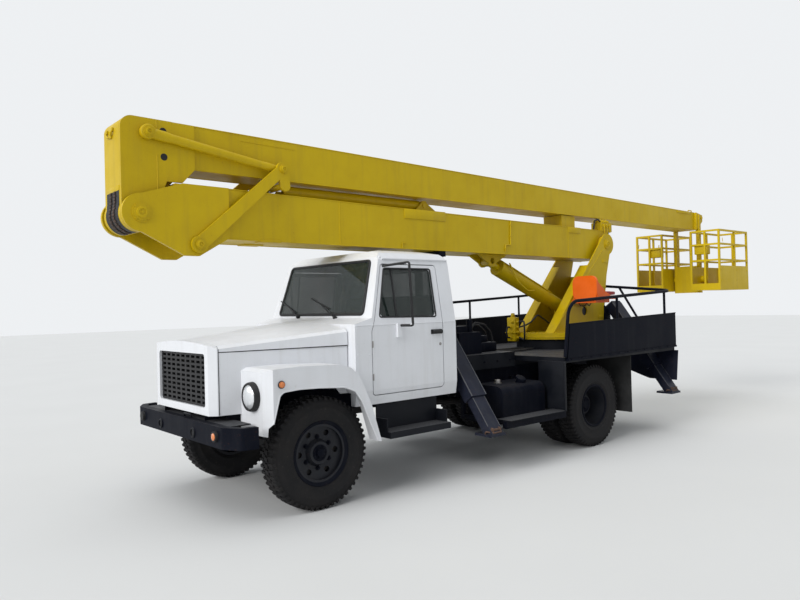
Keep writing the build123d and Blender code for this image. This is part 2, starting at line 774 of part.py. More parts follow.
# Lamps: headlamps on the wings, turn lamps in the bumper, markers on the wings' sides, lamps at the rear
headlamp_place = (832, 1022)
headlamp_radius = 102
marker_place = (462, 1122)
with BuildPart(truck) as lamps:
    for side in (-1, 1):
        bar_x(side * headlamp_place[0], headlamp_place[1], headlamp_radius, (wing_front, wing_front + 36))
        bar_x(side * 775, 735, 32, (bumper_front, bumper_front + 22))
        bar_y(marker_place[0], marker_place[1], 24, (side * wing_outer_y, side * (wing_outer_y + 20)))
        block((deck_rear - 18, deck_rear), (side * 900, side * 1160), (1052, 1098))
save(lamps, "lamps")

# Steps under the doors
with BuildPart(truck) as cab_steps:
    for side in (-1, 1):
        block((-1420, -660), (side * 836, side * 1050), (527, 585))
        block((-1420, -660), (side * 836, side * 850), (585, 826))
        for x in (-1420, -674):
            block((x, x + 14), (side * 850, side * 1000), (585, 700))
        block((-1300, -1240), (side * rail_outer_y, side * 836), (760, 800))
        block((-860, -800), (side * rail_outer_y, side * 836), (760, 800))
save(cab_steps, "cab_steps")

# Fuel tank with its cap, and the battery box on the other side
with BuildPart(truck) as fuel_tank:
    with BuildSketch(facing(-2960)):
        with Locations((735, 640)):
            RectangleRounded(510, 400, 90)
    extrude(amount=710)
    with Locations(Location((-2700, 860, 850), (-30, 0, 0))):
        Cylinder(52, 60)
    for x in (-2780, -2440):
        block((x, x + 50), (rail_outer_y, 520), (770, 830))
save(fuel_tank, "fuel_tank")
with BuildPart(truck) as battery_box:
    block((-2900, -2250), (-1000, -520), (470, 850))
    block((-2780, -2730), (-520, -rail_outer_y), (770, 830))
    block((-2440, -2390), (-520, -rail_outer_y), (770, 830))
save(battery_box, "battery_box")

# Side guards between the axles
guard_front = -2080
guard_rear = rear_axle_x + 690
guard_y = deck_half_width - 84
with BuildPart(truck) as side_guards:
    for side in (-1, 1):
        block((guard_rear, guard_front), (side * guard_y, side * (guard_y + 55)), (440, 520))
        for x in (guard_front - 140, guard_rear + 40):
            block((x, x + 40), (side * rail_outer_y, side * guard_y), (455, 505))
            block((x, x + 40), (side * rail_outer_y, side * (rail_outer_y + 40)), (505, 860))
save(side_guards, "side_guards")

# Deck: the narrow beam behind the cab, the wide floor on its ribs, and the ring the mast turns on
sheet = 10
beam_front = -1700
floor_bottom = deck_floor - deck_floor_thick
ring_base_radius = 520
spigot_radius = 400
spigot_bottom = 1125
sleeve_half_x = leg_half_x + moving_gap + sleeve_wall
sleeve_half_depth = leg_depth / 2 + moving_gap + sleeve_wall
rib_columns = 5
rib_rows = 4
rib = 50
pocket_x = (deck_front - deck_rear - rib * (rib_columns + 1)) / rib_columns
pocket_y = (2 * deck_half_width - rib * (rib_rows + 1)) / rib_rows
with BuildPart(truck) as deck:
    block((deck_front, beam_front), (-beam_half_width, beam_half_width), (rail_top, beam_top))
    block((deck_front + sheet, beam_front - sheet), (-beam_half_width + sheet, beam_half_width - sheet),
          (rail_top, beam_top - sheet), Mode.SUBTRACT)
    block((deck_rear, deck_front), (-deck_half_width, deck_half_width), (floor_bottom, deck_floor))
    with Locations(((deck_front + deck_rear) / 2, 0, (floor_bottom + deck_floor - sheet) / 2)):
        with GridLocations(pocket_x + rib, pocket_y + rib, rib_columns, rib_rows):
            Box(pocket_x, pocket_y, deck_floor_thick - sheet, mode=Mode.SUBTRACT)
    for side in (-1, 1):
        block((rail_rear, deck_front), (side * rail_outer_y, side * (rail_outer_y - rail_flange)),
              (rail_top, floor_bottom))
        block((deck_rear - 10, rear_leg[0] + sleeve_half_x + 2), (side * 640, side * 890),
              (floor_bottom - 5, deck_floor + 5), Mode.SUBTRACT)
    bar_z(slew_x, 0, ring_base_radius, (floor_bottom, ring_base_top))
    bar_z(slew_x, 0, spigot_radius + running_clearance, (spigot_bottom - 10, ring_base_top + 10), Mode.SUBTRACT)
save(deck, "deck")

# Side panels of the deck, each with a lip along its foot
panel_front = deck_front - 22
panel_lean = 56
panel_foot_front = 1062
panel_foot_rear = 1090
panel_face = side_face(((deck_rear, panel_foot_rear), (deck_rear, panel_top_rear),
                        (panel_front - panel_lean, panel_top_front), (panel_front, panel_foot_front)))
lip_face = side_face(((deck_rear, panel_foot_rear), (deck_rear, panel_foot_rear + 24),
                      (panel_front - 3, panel_foot_front + 24), (panel_front, panel_foot_front)))
with BuildPart() as side_panels:
    plates(panel_face, deck_half_width, panel_outer_y)
    plates(lip_face, panel_outer_y, panel_outer_y + 10)
save(side_panels, "side_panels")


def panel_top(x):
    """Height of the side panel's top edge."""
    run = (x - panel_front + panel_lean) / (deck_rear - panel_front + panel_lean)
    return panel_top_front + run * (panel_top_rear - panel_top_front)


# Handrails: a bent tube along each side on posts, and one crowned over the deck's rear edge with braces
handrail_y = deck_half_width + 10
handrail_foot = (deck_front + 5, deck_floor + 4)
handrail_bend = (-3132, 1724)
handrail_rear = (deck_rear + rail_tube, 1838)
rail_crown_z = 1950
brace_head = (422, 1908)
brace_foot = (930, deck_floor)
brace_run = hypot(brace_foot[0] - brace_head[0], brace_foot[1] - brace_head[1])
rail_slope = (handrail_rear[1] - handrail_bend[1]) / (handrail_rear[0] - handrail_bend[0])
left_rail = [(axle_x + x, handrail_y, z) for x, z in (handrail_foot, handrail_bend, handrail_rear)]
right_rail = [(x, -y, z) for x, y, z in reversed(left_rail)]
with BuildPart() as handrails:
    with BuildLine():
        FilletPolyline(*left_rail, (axle_x + handrail_rear[0], 0, rail_crown_z), *right_rail, radius=200)
    with BuildSketch(Plane(origin=left_rail[0],
                           z_dir=(handrail_bend[0] - handrail_foot[0], 0, handrail_bend[1] - handrail_foot[1]))):
        Circle(rail_tube)
    sweep()
    for side in (-1, 1):
        for x in (-4090, -5200):
            low = panel_top(x) + 1
            high = handrail_rear[1] + (x - handrail_rear[0]) * rail_slope
            with Locations((axle_x + x, side * handrail_y, (low + high) / 2)):
                Cylinder(rail_tube - 3, high - low)
        with BuildSketch(Plane(origin=(axle_x + handrail_rear[0], side * brace_foot[0], brace_foot[1]),
                               z_dir=(0, side * (brace_head[0] - brace_foot[0]), brace_head[1] - brace_foot[1]))):
            Circle(rail_tube - 3)
        extrude(amount=brace_run)
    with Locations((axle_x + handrail_rear[0], 0, deck_floor - 50)):
        Box(200, 2 * deck_half_width, 100, mode=Mode.SUBTRACT)
save(handrails, "handrails")

# Mudflaps behind the rear wheels
flap_x = rear_axle_x - tyre_radius - 150
with BuildPart(truck) as mudflaps:
    for side in (-1, 1):
        block((flap_x, flap_x + 8), (side * (twin_inner_y - 140), side * (deck_half_width - 14)), (340, floor_bottom))
save(mudflaps, "mudflaps")

# Oil tank with the pump and motor on it
with BuildPart(truck) as pump_unit:
    block((-2600, -2240), (-380, 380), (beam_top, 1400))
    bar_y(-2420, 1435, 60, (-300, 100))
    block((-2500, -2330), (130, 260), (1400, 1470))
save(pump_unit, "pump_unit")

# Rest that the stowed lower boom lies over
rest_x = -2150
rest_top = lower_bottom(rest_x) - 6
with BuildPart(truck) as boom_rest:
    for side in (-1, 1):
        block((rest_x - 35, rest_x + 35), (side * 150, side * 210), (beam_top, rest_top - 60))
    block((rest_x - 45, rest_x + 45), (-240, 240), (rest_top - 60, rest_top))
save(boom_rest, "boom_rest")


def leg_plane(place, side):
    """Plane at the foot of a leg with its local z up along the leg."""
    return Plane(origin=(axle_x + place[0], side * leg_foot_y, place[1]), x_dir=(1, 0, 0),
                 z_dir=(0, -side * cos(radians(leg_tilt)), sin(radians(leg_tilt))))


def axis_y(place, z):
    """How far out a leg's axis is at this height."""
    return leg_foot_y - (z - place[1]) / sin(radians(leg_tilt)) * cos(radians(leg_tilt))


# Outrigger sleeves: four slanted square tubes, each between two plates on the frame
bracket_low = 770
hitch_plate = 14
hitch_spacing = (160, 100)
hitch_hole = 10.5
hitch_z = 870
with BuildPart(truck) as brackets:
    for place, bracket_high, inner_high in ((front_leg, 1140, rail_top - 4), (rear_leg, floor_bottom - 5, 1000)):
        for side in (-1, 1):
            for x in (place[0] - sleeve_half_x, place[0] + sleeve_half_x - sleeve_wall):
                with BuildSketch(facing(x)):
                    with BuildLine():
                        Polyline((side * rail_outer_y, bracket_low), (side * rail_outer_y, inner_high),
                                 (side * beam_half_width, inner_high), (side * beam_half_width, bracket_high),
                                 (side * axis_y(place, bracket_high), bracket_high),
                                 (side * axis_y(place, 850), 850), (side * rail_outer_y, bracket_low))
                    make_face()
                extrude(amount=sleeve_wall)
    with BuildSketch(facing(rear_leg[0] - sleeve_half_x)):
        for side in (-1, 1):
            with BuildLine():
                Polyline((side * rail_outer_y, bracket_low), (side * rail_outer_y, 1000),
                         (side * beam_half_width, 1000),
                         (side * beam_half_width, floor_bottom - 5), (side * panel_outer_y, floor_bottom - 5),
                         (side * (deck_half_width - 3), corner_plate_low), (side * 820, corner_plate_low),
                         (side * 670, corner_plate_low + 47), (side * rail_outer_y, bracket_low))
            make_face()
    extrude(amount=sleeve_wall)
    beam_low = bracket_low
    beam_high = rail_top - 10
    block((rear_leg[0] - sleeve_half_x, rear_leg[0] - sleeve_half_x + hitch_plate), (-rail_outer_y, rail_outer_y),
          (beam_low, beam_high))
    for z in (beam_low, beam_high - sheet):
        block((rear_leg[0] - sleeve_half_x, rail_rear), (-rail_outer_y, rail_outer_y), (z, z + sheet))
    for z in (hitch_z - hitch_spacing[1] / 2, hitch_z + hitch_spacing[1] / 2):
        for y in (-hitch_spacing[0] / 2, hitch_spacing[0] / 2):
            bar_x(y, z, hitch_hole, (rear_leg[0] - sleeve_half_x - 5, rear_leg[0] - sleeve_half_x + hitch_plate + 5),
                  Mode.SUBTRACT)
with BuildPart() as sleeve_tubes:
    for place in (front_leg, rear_leg):
        tube_end = (place[2] - place[1]) / sin(radians(leg_tilt))
        for side in (-1, 1):
            with Locations(leg_plane(place, side)):
                with Locations((0, 0, (sleeve_start + tube_end) / 2)):
                    Box(2 * sleeve_half_x, 2 * sleeve_half_depth, tube_end - sleeve_start)
with BuildPart() as sleeve_bores:
    for place in (front_leg, rear_leg):
        tube_end = (place[2] - place[1]) / sin(radians(leg_tilt))
        for side in (-1, 1):
            with Locations(leg_plane(place, side)):
                with Locations((0, 0, tube_end / 2)):
                    Box(2 * (leg_half_x + moving_gap), leg_depth + 2 * moving_gap, tube_end + 60)
with BuildPart() as outrigger_sleeves:
    add(brackets.part)
    add(sleeve_tubes.part)
    add(sleeve_bores.part, mode=Mode.SUBTRACT)
save(outrigger_sleeves, "outrigger_sleeves")

# Outrigger legs: a square tube cut level at its foot, and the foot plate
for place, word in ((front_leg, "front"), (rear_leg, "rear")):
    tube_end = (place[2] - place[1]) / sin(radians(leg_tilt)) - 100
    for side, hand in ((1, "left"), (-1, "right")):
        with BuildPart() as leg:
            with Locations(leg_plane(place, side)):
                with Locations((0, 0, (tube_end - 90) / 2)):
                    Box(2 * leg_half_x, leg_depth, tube_end + 90)
                with Locations((0, 0, (tube_end + 150) / 2)):
                    Box(2 * leg_half_x - 2 * sheet, leg_depth - 2 * sheet, tube_end - 130, mode=Mode.SUBTRACT)
            with Locations((axle_x + place[0], side * leg_foot_y, place[1] - 200)):
                Box(400, 600, 400, mode=Mode.SUBTRACT)
            with Locations((axle_x + place[0], side * (foot_outer_y - foot_half), place[1] - foot_thick / 2)):
                Box(2 * foot_half, 2 * foot_half, foot_thick)
        save(leg, "leg_" + word + "_" + hand)

# Mast: the turning ring, two side plates with flanges, the back plate, and the pins of boom and cylinder
flange_top_z = 2223
slope_x = mast_pivot[0] - mast_foot_front
slope_z = mast_pivot[1] - ring_top
slope = atan2(slope_z, slope_x) - asin(mast_pivot_radius / hypot(slope_x, slope_z))
tangent = (mast_pivot[0] + mast_pivot_radius * sin(slope), mast_pivot[1] - mast_pivot_radius * cos(slope))
flange_top_x = mast_foot_front + (flange_top_z - ring_top) * cos(slope) / sin(slope)
mast_face = side_face(((mast_foot_front, ring_top), tangent, mast_pivot, (-5400, 2420), (-5300, 2089),
                       (mast_foot_rear, ring_top)),
                      rounds=((mast_pivot[0], mast_pivot[1], mast_pivot_radius),),
                      holes=((lift_base_pin[0], lift_base_pin[1] - 20, 60),))
flange_face = side_face(((mast_foot_front, ring_top), (flange_top_x, flange_top_z),
                         (flange_top_x - mast_plate, flange_top_z), (mast_foot_front - mast_plate - 4, ring_top)))
back_face = side_face(((mast_foot_rear, ring_top), (-5300, 2089), (-5288, 2089), (mast_foot_rear + 12, ring_top)))
lug_face = side_face(((-4930, ring_top), (lift_base_pin[0] - 60, lift_base_pin[1] + 30),
                      (lift_base_pin[0] + 60, lift_base_pin[1] + 30), (-4560, ring_top)),
                     rounds=((lift_base_pin[0], lift_base_pin[1], 75),))
lift_base_radius = 40
lug_inner = 115
lug_outer = 140
with BuildPart(truck) as mast:
    bar_z(slew_x, 0, ring_radius, (ring_bottom, ring_top))
    bar_z(slew_x, 0, spigot_radius, (spigot_bottom, ring_bottom))
    block((mast_foot_rear, slew_x), (-mast_outer_y, mast_outer_y), (ring_top - 40, ring_top))
    plates(mast_face, mast_outer_y - mast_plate, mast_outer_y)
    plates(flange_face, mast_outer_y - mast_flange, mast_outer_y - mast_plate)
    slab(back_face, mast_outer_y - mast_plate)
    plates(lug_face, lug_inner, lug_outer)
    bar_y(lift_base_pin[0], lift_base_pin[1], lift_base_radius, (-lug_outer - 12, lug_outer + 12))
    bar_y(mast_pivot[0], mast_pivot[1], mast_pin_radius, (-mast_outer_y - 8, mast_outer_y + 8))
    for side in (-1, 1):
        bar_y(mast_pivot[0], mast_pivot[1], 78, (side * mast_outer_y, side * (mast_outer_y + 8)))
save(mast, "mast")

# Operator's seat on the mast's left side: a shell with side wings, facing rearwards, on a bracket
seat_y = (370, 740)
seat_z = 1744
seat_back_x = -4440
seat_wing = side_face(((seat_back_x + 20, 1990), (seat_back_x + 20, seat_z), (-4720, seat_z), (-4710, 1800),
                       (-4600, 1850)))
with BuildPart(truck) as operator_seat:
    block((-4780, -4460), (mast_outer_y, seat_y[1] - 60), (seat_z - 44, seat_z))
    block((-4880, seat_back_x), seat_y, (seat_z, seat_z + 50))
    with BuildSketch(facing(seat_back_x)):
        with Locations(((seat_y[0] + seat_y[1]) / 2, (seat_z + 2055) / 2)):
            RectangleRounded(seat_y[1] - seat_y[0], 2055 - seat_z, 90)
    extrude(amount=36)
    for y in (seat_y[0] + 16, seat_y[1]):
        extrude(seat_wing.moved(Location((0, y, 0))), amount=16)
save(operator_seat, "operator_seat")

# Lift cylinder: barrel on the mast's pin, rod up to the lower boom
lift_closed = hypot(lift_head_pin[0] - lift_base_pin[0], lift_head_pin[1] - lift_base_pin[1])
lift_rod_radius = 50
lift_collar = 570
lift_barrel_end = 1531
with BuildPart(toward(lift_base_pin, lift_head_pin)) as lift_barrel:
    eye_across(0, 85, lug_inner - 8)
    rod_along(90, 20, lift_collar)
    rod_along(107, lift_collar, lift_barrel_end)
    eye_across(0, lift_base_radius + running_clearance, lug_inner, Mode.SUBTRACT)
    rod_along(lift_rod_radius + running_clearance, 170, lift_barrel_end + 10, Mode.SUBTRACT)
save(lift_barrel, "lift_barrel")
with BuildPart(toward(lift_base_pin, lift_head_pin)) as lift_rod:
    rod_along(lift_rod_radius, 180, lift_closed - 40)
    eye_across(lift_closed, 68, 50)
    eye_across(lift_closed, 38, 60, Mode.SUBTRACT)
save(lift_rod, "lift_rod")

# Lower boom: a box tube, the knee cheeks at its front, hubs, lugs, the saddle and the valve block
lower_rear = -5480
lower_face = side_face(((lower_rear, lower_bottom(lower_rear)), (lower_rear, lower_top(lower_rear)),
                        (lower_end, lower_top(lower_end)), (lower_end, lower_bottom(lower_end))))
lower_room = side_face(((lower_rear + lower_wall, lower_bottom(lower_rear) + lower_wall),
                        (lower_rear + lower_wall, lower_top(lower_rear) - lower_wall),
                        (lower_end + 50, lower_top(lower_end) - lower_wall),
                        (lower_end + 50, lower_bottom(lower_end) + lower_wall)))
cheek_face = side_face(((480, 2360), (760, 2195), (890, 2195), (1370, 2440), knee_pivot, (1249, 2695),
                        (900, 2805), (480, 2802)),
                       rounds=((knee_pivot[0], knee_pivot[1], cheek_radius),))
head_lug_face = side_face(((-3420, lower_bottom(-3420) + 4), (lift_head_pin[0] - 60, lift_head_pin[1] - 30),
                           (lift_head_pin[0] + 60, lift_head_pin[1] - 30), (-2880, lower_bottom(-2880) + 4)),
                          rounds=((lift_head_pin[0], lift_head_pin[1], 74),),
                          holes=((lift_head_pin[0], lift_head_pin[1], 38),))
knee_lug_face = side_face(((-2280, lower_top(-2280) - 4), (knee_base_pin[0] - 50, knee_base_pin[1] + 20),
                           (knee_base_pin[0] + 50, knee_base_pin[1] + 20), (-1860, lower_top(-1860) - 4)),
                          rounds=((knee_base_pin[0], knee_base_pin[1], 54),))
knee_base_radius = 30
with BuildPart(truck) as lower_boom:
    slab(lower_face, lower_half_width)
    slab(lower_room, lower_half_width - lower_wall, Mode.SUBTRACT)
    plates(cheek_face, lower_half_width, cheek_outer_y)
    bar_y(mast_pivot[0], mast_pivot[1], 110, (-mast_outer_y + mast_plate + 6, mast_outer_y - mast_plate - 6))
    bar_y(mast_pivot[0], mast_pivot[1], mast_pin_radius + running_clearance, (-320, 320), Mode.SUBTRACT)
    plates(head_lug_face, 60, 90)
    plates(knee_lug_face, 60, 80)
    bar_y(knee_base_pin[0], knee_base_pin[1], knee_base_radius, (-88, 88))
    bar_y(knee_pivot[0], knee_pivot[1], knee_pin_radius, (-cheek_outer_y - 8, cheek_outer_y + 8))
    for side in (-1, 1):
        bar_y(knee_pivot[0], knee_pivot[1], 80, (side * cheek_outer_y, side * (cheek_outer_y + 8)))
        bar_y(strut_pin[0], strut_pin[1], link_pin_radius, (side * lower_half_width, side * (strut_outer_y + 10)))
    block((-4800, -4500), (-150, 150), (lower_top(-4800) - 4, upper_bottom(-4800) - 8))
    block((-5590, -5330), (60, 228), (lower_top(-5330) - 6, 2850))
save(lower_boom, "lower_boom")

# Knee cylinder: barrel on the lower boom's top, rod to the struts' cross shaft
knee_closed = hypot(ram_pin[0] - knee_base_pin[0], ram_pin[1] - knee_base_pin[1])
knee_barrel_end = 1820
with BuildPart(toward(knee_base_pin, ram_pin)) as knee_barrel:
    eye_across(0, 52, 52)
    rod_along(58, 30, knee_barrel_end)
    eye_across(0, knee_base_radius + running_clearance, 60, Mode.SUBTRACT)
    rod_along(30 + running_clearance, 120, knee_barrel_end + 10, Mode.SUBTRACT)
save(knee_barrel, "knee_barrel")
with BuildPart(toward(knee_base_pin, ram_pin)) as knee_rod:
    rod_along(30, 140, knee_closed - 30)
    eye_across(knee_closed, 50, 38)
    eye_across(knee_closed, 30, 50, Mode.SUBTRACT)
save(knee_rod, "knee_rod")

# Struts: a pair from the cheeks to the ties' joint, each with its half of the cross shaft
strut_face = side_face(beam_points(strut_pin, link_joint, 62, 50),
                       rounds=((strut_pin[0], strut_pin[1], 74), (link_joint[0], link_joint[1], 66),
                               (ram_pin[0], ram_pin[1], 52)),
                       holes=((strut_pin[0], strut_pin[1], link_pin_radius + running_clearance),))
horn_face = side_face(beam_points(link_joint, ram_pin, 60, 50))
with BuildPart(truck) as knee_struts:
    plates(strut_face + horn_face, strut_inner_y, strut_outer_y)
    for side in (-1, 1):
        bar_y(ram_pin[0], ram_pin[1], 30, (side * 45, side * strut_inner_y))
        bar_y(link_joint[0], link_joint[1], 40, (side * strut_outer_y, side * (strut_outer_y + 10)))
save(knee_struts, "knee_struts")

# Ties: a pair of bars from the upper boom's head back to the struts
tie_face = side_face(beam_points(rod_pin, link_joint, 46, 40),
                     rounds=((rod_pin[0], rod_pin[1], 62), (link_joint[0], link_joint[1], 56)),
                     holes=((rod_pin[0], rod_pin[1], link_pin_radius + running_clearance),))
with BuildPart(truck) as knee_ties:
    plates(tie_face, tie_inner_y, tie_outer_y)
save(knee_ties, "knee_ties")

# Upper boom: a box tube, the plated head at the knee, and the gooseneck that carries the cages
upper_rear_top = upper_top(upper_tip)
upper_rear_bottom = upper_bottom(upper_tip)
upper_face = side_face(((upper_tip, upper_rear_bottom), (upper_tip, upper_rear_top), (1290, upper_top(1290)),
                        (1290, upper_bottom(1290))))
upper_room = side_face(((upper_tip + upper_wall, upper_rear_bottom + upper_wall),
                        (upper_tip + upper_wall, upper_rear_top - upper_wall),
                        (1270, upper_top(1270) - head_plate), (1270, upper_bottom(1270) + upper_wall)))
head_radius = 149
head_corner_z = upper_top(head_front)
head_face = side_face(((960, upper_top(960)), (head_front, head_corner_z), (head_front, 2585),
                       (knee_pivot[0] + head_radius - 30, knee_pivot[1] - 64), knee_pivot, (1100, 2537),
                       (1090, 2600), (960, 2949)),
                      rounds=((knee_pivot[0], knee_pivot[1], head_radius),),
                      blends=((head_front, head_corner_z, 96),))
head_room = side_face(((980, upper_top(980) - head_plate), (1282, upper_top(1282) - head_plate),
                       (head_front - head_plate, 3232), (head_front - head_plate, 2578), (1340, 2480), (1290, 2420),
                       (1130, 2500), (1112, 2606), (985, 2949)))
tip_face = side_face(((-8190, upper_bottom(-8190)), (-8190, upper_top(-8190)), (-8400, 3150), (-8400, 3050),
                      (-8300, 2960)))
with BuildPart(truck) as upper_boom:
    slab(upper_face, upper_half_width)
    slab(head_face, head_half_width)
    slab(upper_room, upper_half_width - upper_wall, Mode.SUBTRACT)
    slab(head_room, head_half_width - head_plate, Mode.SUBTRACT)
    block((head_front - 40, head_front + 10), (-110, 110), (2640, 2760), Mode.SUBTRACT)
    bar_y(knee_pivot[0], knee_pivot[1], 95, (-lower_half_width + 6, lower_half_width - 6))
    bar_y(knee_pivot[0], knee_pivot[1], knee_pin_radius + running_clearance, (-300, 300), Mode.SUBTRACT)
    for side in (-1, 1):
        bar_y(rod_pin[0], rod_pin[1], link_pin_radius, (side * (head_half_width - 60), side * (tie_outer_y + 6)))
        bar_y(rod_pin[0], rod_pin[1], 48, (side * (tie_outer_y + 1), side * (tie_outer_y + 9)))
    plates(tip_face, upper_half_width, hanger_y + 15)
    for side in (-1, 1):
        block((hanger_x - 30, hanger_x + 30), (side * (hanger_y - 30), side * (hanger_y + 30)),
              (cage_floor - 34, upper_rear_top - 30))
        bar_y(hanger_x, basket_pivot_z, 58, (side * (hanger_y - 30), side * (hanger_y + 30)))
    block((-8226, -8200), (-180, 180), (1821, 2280))
    for side in (-1, 1):
        block((hanger_x, -8200), (side * 180, side * 173), (1821, 2280))
        block((hanger_x, -8200), (side * 173, side * 200), (1821, 2280))
    bar_y(hanger_x, basket_pivot_z, basket_pin_radius + running_clearance, (-260, 260), Mode.SUBTRACT)
    bar_y(-8349, 3103, 30, (-hanger_y - 25, hanger_y + 25))
save(upper_boom, "upper_boom")

# Levelling shaft through the gooseneck
shaft_end = cage_inner_y + 44
with BuildPart(truck) as level_shaft:
    bar_y(hanger_x, basket_pivot_z, basket_pin_radius, (-shaft_end, shaft_end))
save(level_shaft, "level_shaft")

# Cages: a pair of trays with posts, rails and lower panels, each on a hub on the levelling shaft
skin = 4
tray = 6
post_middle_x = -8455
rail_heights = (2330, 2590, cage_top - cage_tube)
panel_high_z = 2250
with BuildPart(truck) as cages:
    for side in (-1, 1):
        inner = side * cage_inner_y
        outer = side * cage_outer_y
        middle = (inner + outer) / 2
        block((cage_rear, cage_front), (inner, outer), (cage_floor, cage_floor + cage_tray))
        block((cage_rear + tray, cage_front - tray), (inner + side * tray, outer - side * tray),
              (cage_floor + tray, cage_floor + cage_tray + 5), Mode.SUBTRACT)
        for y in (inner, outer - side * cage_tube):
            for x in (cage_rear, post_middle_x, cage_front - cage_tube):
                block((x, x + cage_tube), (y, y + side * cage_tube), (cage_floor + cage_tray, cage_top))
            for z in rail_heights:
                block((cage_rear, cage_front), (y, y + side * cage_tube), (z, z + cage_tube))
        for x in (cage_rear, cage_front - cage_tube):
            block((x, x + cage_tube), (middle - 15, middle + 15), (cage_floor + cage_tray, cage_top))
            for z in rail_heights:
                block((x, x + cage_tube), (inner, outer), (z, z + cage_tube))
        for y in (inner, outer - side * skin):
            block((cage_rear, cage_front), (y, y + side * skin), (cage_floor + cage_tray, panel_high_z))
        bar_y(hanger_x, basket_pivot_z, 60, (inner, side * (shaft_end + 16)))
        bar_y(hanger_x, basket_pivot_z, basket_pin_radius + running_clearance,
              (inner - side * 5, side * (shaft_end + 6)), Mode.SUBTRACT)
save(cages, "cages")
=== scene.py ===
import bmesh
import bpy
import json
from math import cos, hypot, pi, radians, sin, tau
from mathutils import Matrix, Vector


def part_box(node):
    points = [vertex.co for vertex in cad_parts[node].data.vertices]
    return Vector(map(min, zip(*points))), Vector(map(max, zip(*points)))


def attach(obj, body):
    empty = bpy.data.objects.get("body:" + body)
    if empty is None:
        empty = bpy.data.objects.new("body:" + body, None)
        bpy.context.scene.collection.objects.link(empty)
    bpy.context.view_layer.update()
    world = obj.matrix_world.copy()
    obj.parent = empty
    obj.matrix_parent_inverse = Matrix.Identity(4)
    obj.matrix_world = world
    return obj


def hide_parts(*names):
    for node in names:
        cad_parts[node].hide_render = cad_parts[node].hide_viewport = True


# Cherry picker truck: finishes, fittings, tyres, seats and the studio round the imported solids.
# Pieces are drawn in millimetres with x forward from the front axle, y to the left and z up,
# and finish_piece puts them in the frame's metres.

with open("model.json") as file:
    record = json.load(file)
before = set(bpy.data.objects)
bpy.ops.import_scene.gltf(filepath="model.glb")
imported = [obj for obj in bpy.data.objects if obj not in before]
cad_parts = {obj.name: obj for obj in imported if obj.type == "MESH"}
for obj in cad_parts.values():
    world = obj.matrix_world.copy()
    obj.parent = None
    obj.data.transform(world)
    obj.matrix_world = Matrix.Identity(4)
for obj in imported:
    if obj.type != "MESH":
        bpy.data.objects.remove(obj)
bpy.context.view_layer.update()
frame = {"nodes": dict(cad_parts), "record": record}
front_low, front_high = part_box("tyre_front_left")
rear_low, rear_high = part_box("tyres_rear_left")
axle_x = (front_low.x + front_high.x) / 2
to_frame = Matrix.Translation((axle_x, 0, 0)) @ Matrix.Scale(0.001, 4)

tyre_radius = (front_high.z - front_low.z) * 500
tyre_half_width = (front_high.y - front_low.y) * 500
front_wheel_y = (front_high.y + front_low.y) * 500
rear_axle_x = ((rear_low.x + rear_high.x) / 2 - axle_x) * 1000
twin_inner_y = rear_low.y * 1000 + tyre_half_width
twin_outer_y = rear_high.y * 1000 - tyre_half_width
bead_radius = 254

# Both sides of the truck: the sign of y, and the word in the names of bodies and pieces
hands = ((1, "left"), (-1, "right"))


# Mesh helpers

def stand(base, axis):
    """Turn local z along an axis and move the origin to a base point."""
    turn = Vector((0, 0, 1)).rotation_difference(Vector(axis)).to_matrix().to_4x4()
    return Matrix.Translation(base) @ turn


def add_block(mesh, x, y, z, rounding=0, segments=2):
    """A box between two limits on each axis, with its edges rounded."""
    made = bmesh.ops.create_cube(mesh, size=1)["verts"]
    bmesh.ops.scale(mesh, vec=(abs(x[1] - x[0]), abs(y[1] - y[0]), abs(z[1] - z[0])), verts=made)
    bmesh.ops.translate(mesh, vec=((x[0] + x[1]) / 2, (y[0] + y[1]) / 2, (z[0] + z[1]) / 2), verts=made)
    if rounding:
        edges = list({edge for vert in made for edge in vert.link_edges})
        bmesh.ops.bevel(mesh, geom=edges, offset=rounding, segments=segments, profile=0.5,
                        affect="EDGES", material=-1)


def add_round(mesh, base, axis, radius, depth, sides=24):
    """A round or many-sided bar that stands on its base along an axis."""
    made = bmesh.ops.create_cone(mesh, cap_ends=True, cap_tris=False, segments=sides, radius1=radius,
                                 radius2=radius, depth=depth)["verts"]
    lift = Matrix.Translation((0, 0, depth / 2))
    bmesh.ops.transform(mesh, matrix=stand(base, axis) @ lift, verts=made)


def add_turned(mesh, base, axis, profile, steps=32, closed=False):
    """A profile of radius and distance along the axis, turned all the way round."""
    known = set(mesh.verts)
    ring = [mesh.verts.new((radius, 0, along)) for radius, along in profile]
    edges = [mesh.edges.new(pair) for pair in zip(ring, ring[1:])]
    if closed:
        edges.append(mesh.edges.new((ring[-1], ring[0])))
    bmesh.ops.spin(mesh, geom=ring + edges, cent=(0, 0, 0), axis=(0, 0, 1), angle=tau, steps=steps,
                   use_merge=True, use_duplicate=False)
    made = [vert for vert in mesh.verts if vert not in known]
    bmesh.ops.remove_doubles(mesh, verts=made, dist=0.01)
    made = [vert for vert in mesh.verts if vert not in known]
    bmesh.ops.transform(mesh, matrix=stand(base, axis), verts=made)


def add_cover(mesh, base, axis, radius, depth, slope=2, steps=40):
    """A flat round cover whose rim slopes in towards its face."""
    add_turned(mesh, base, axis, [(0, depth), (radius - slope, depth), (radius, 0), (0, 0)], steps=steps)


def add_nipple(mesh, base, axis, neck, flange, height, collar, steps=20):
    """A pipe connection: a neck this high, out of a flange as thick as the collar says."""
    profile = [(0, height), (neck, height), (neck + 2, collar + 4), (flange - 1, collar), (flange, 0), (0, 0)]
    add_turned(mesh, base, axis, profile, steps=steps)


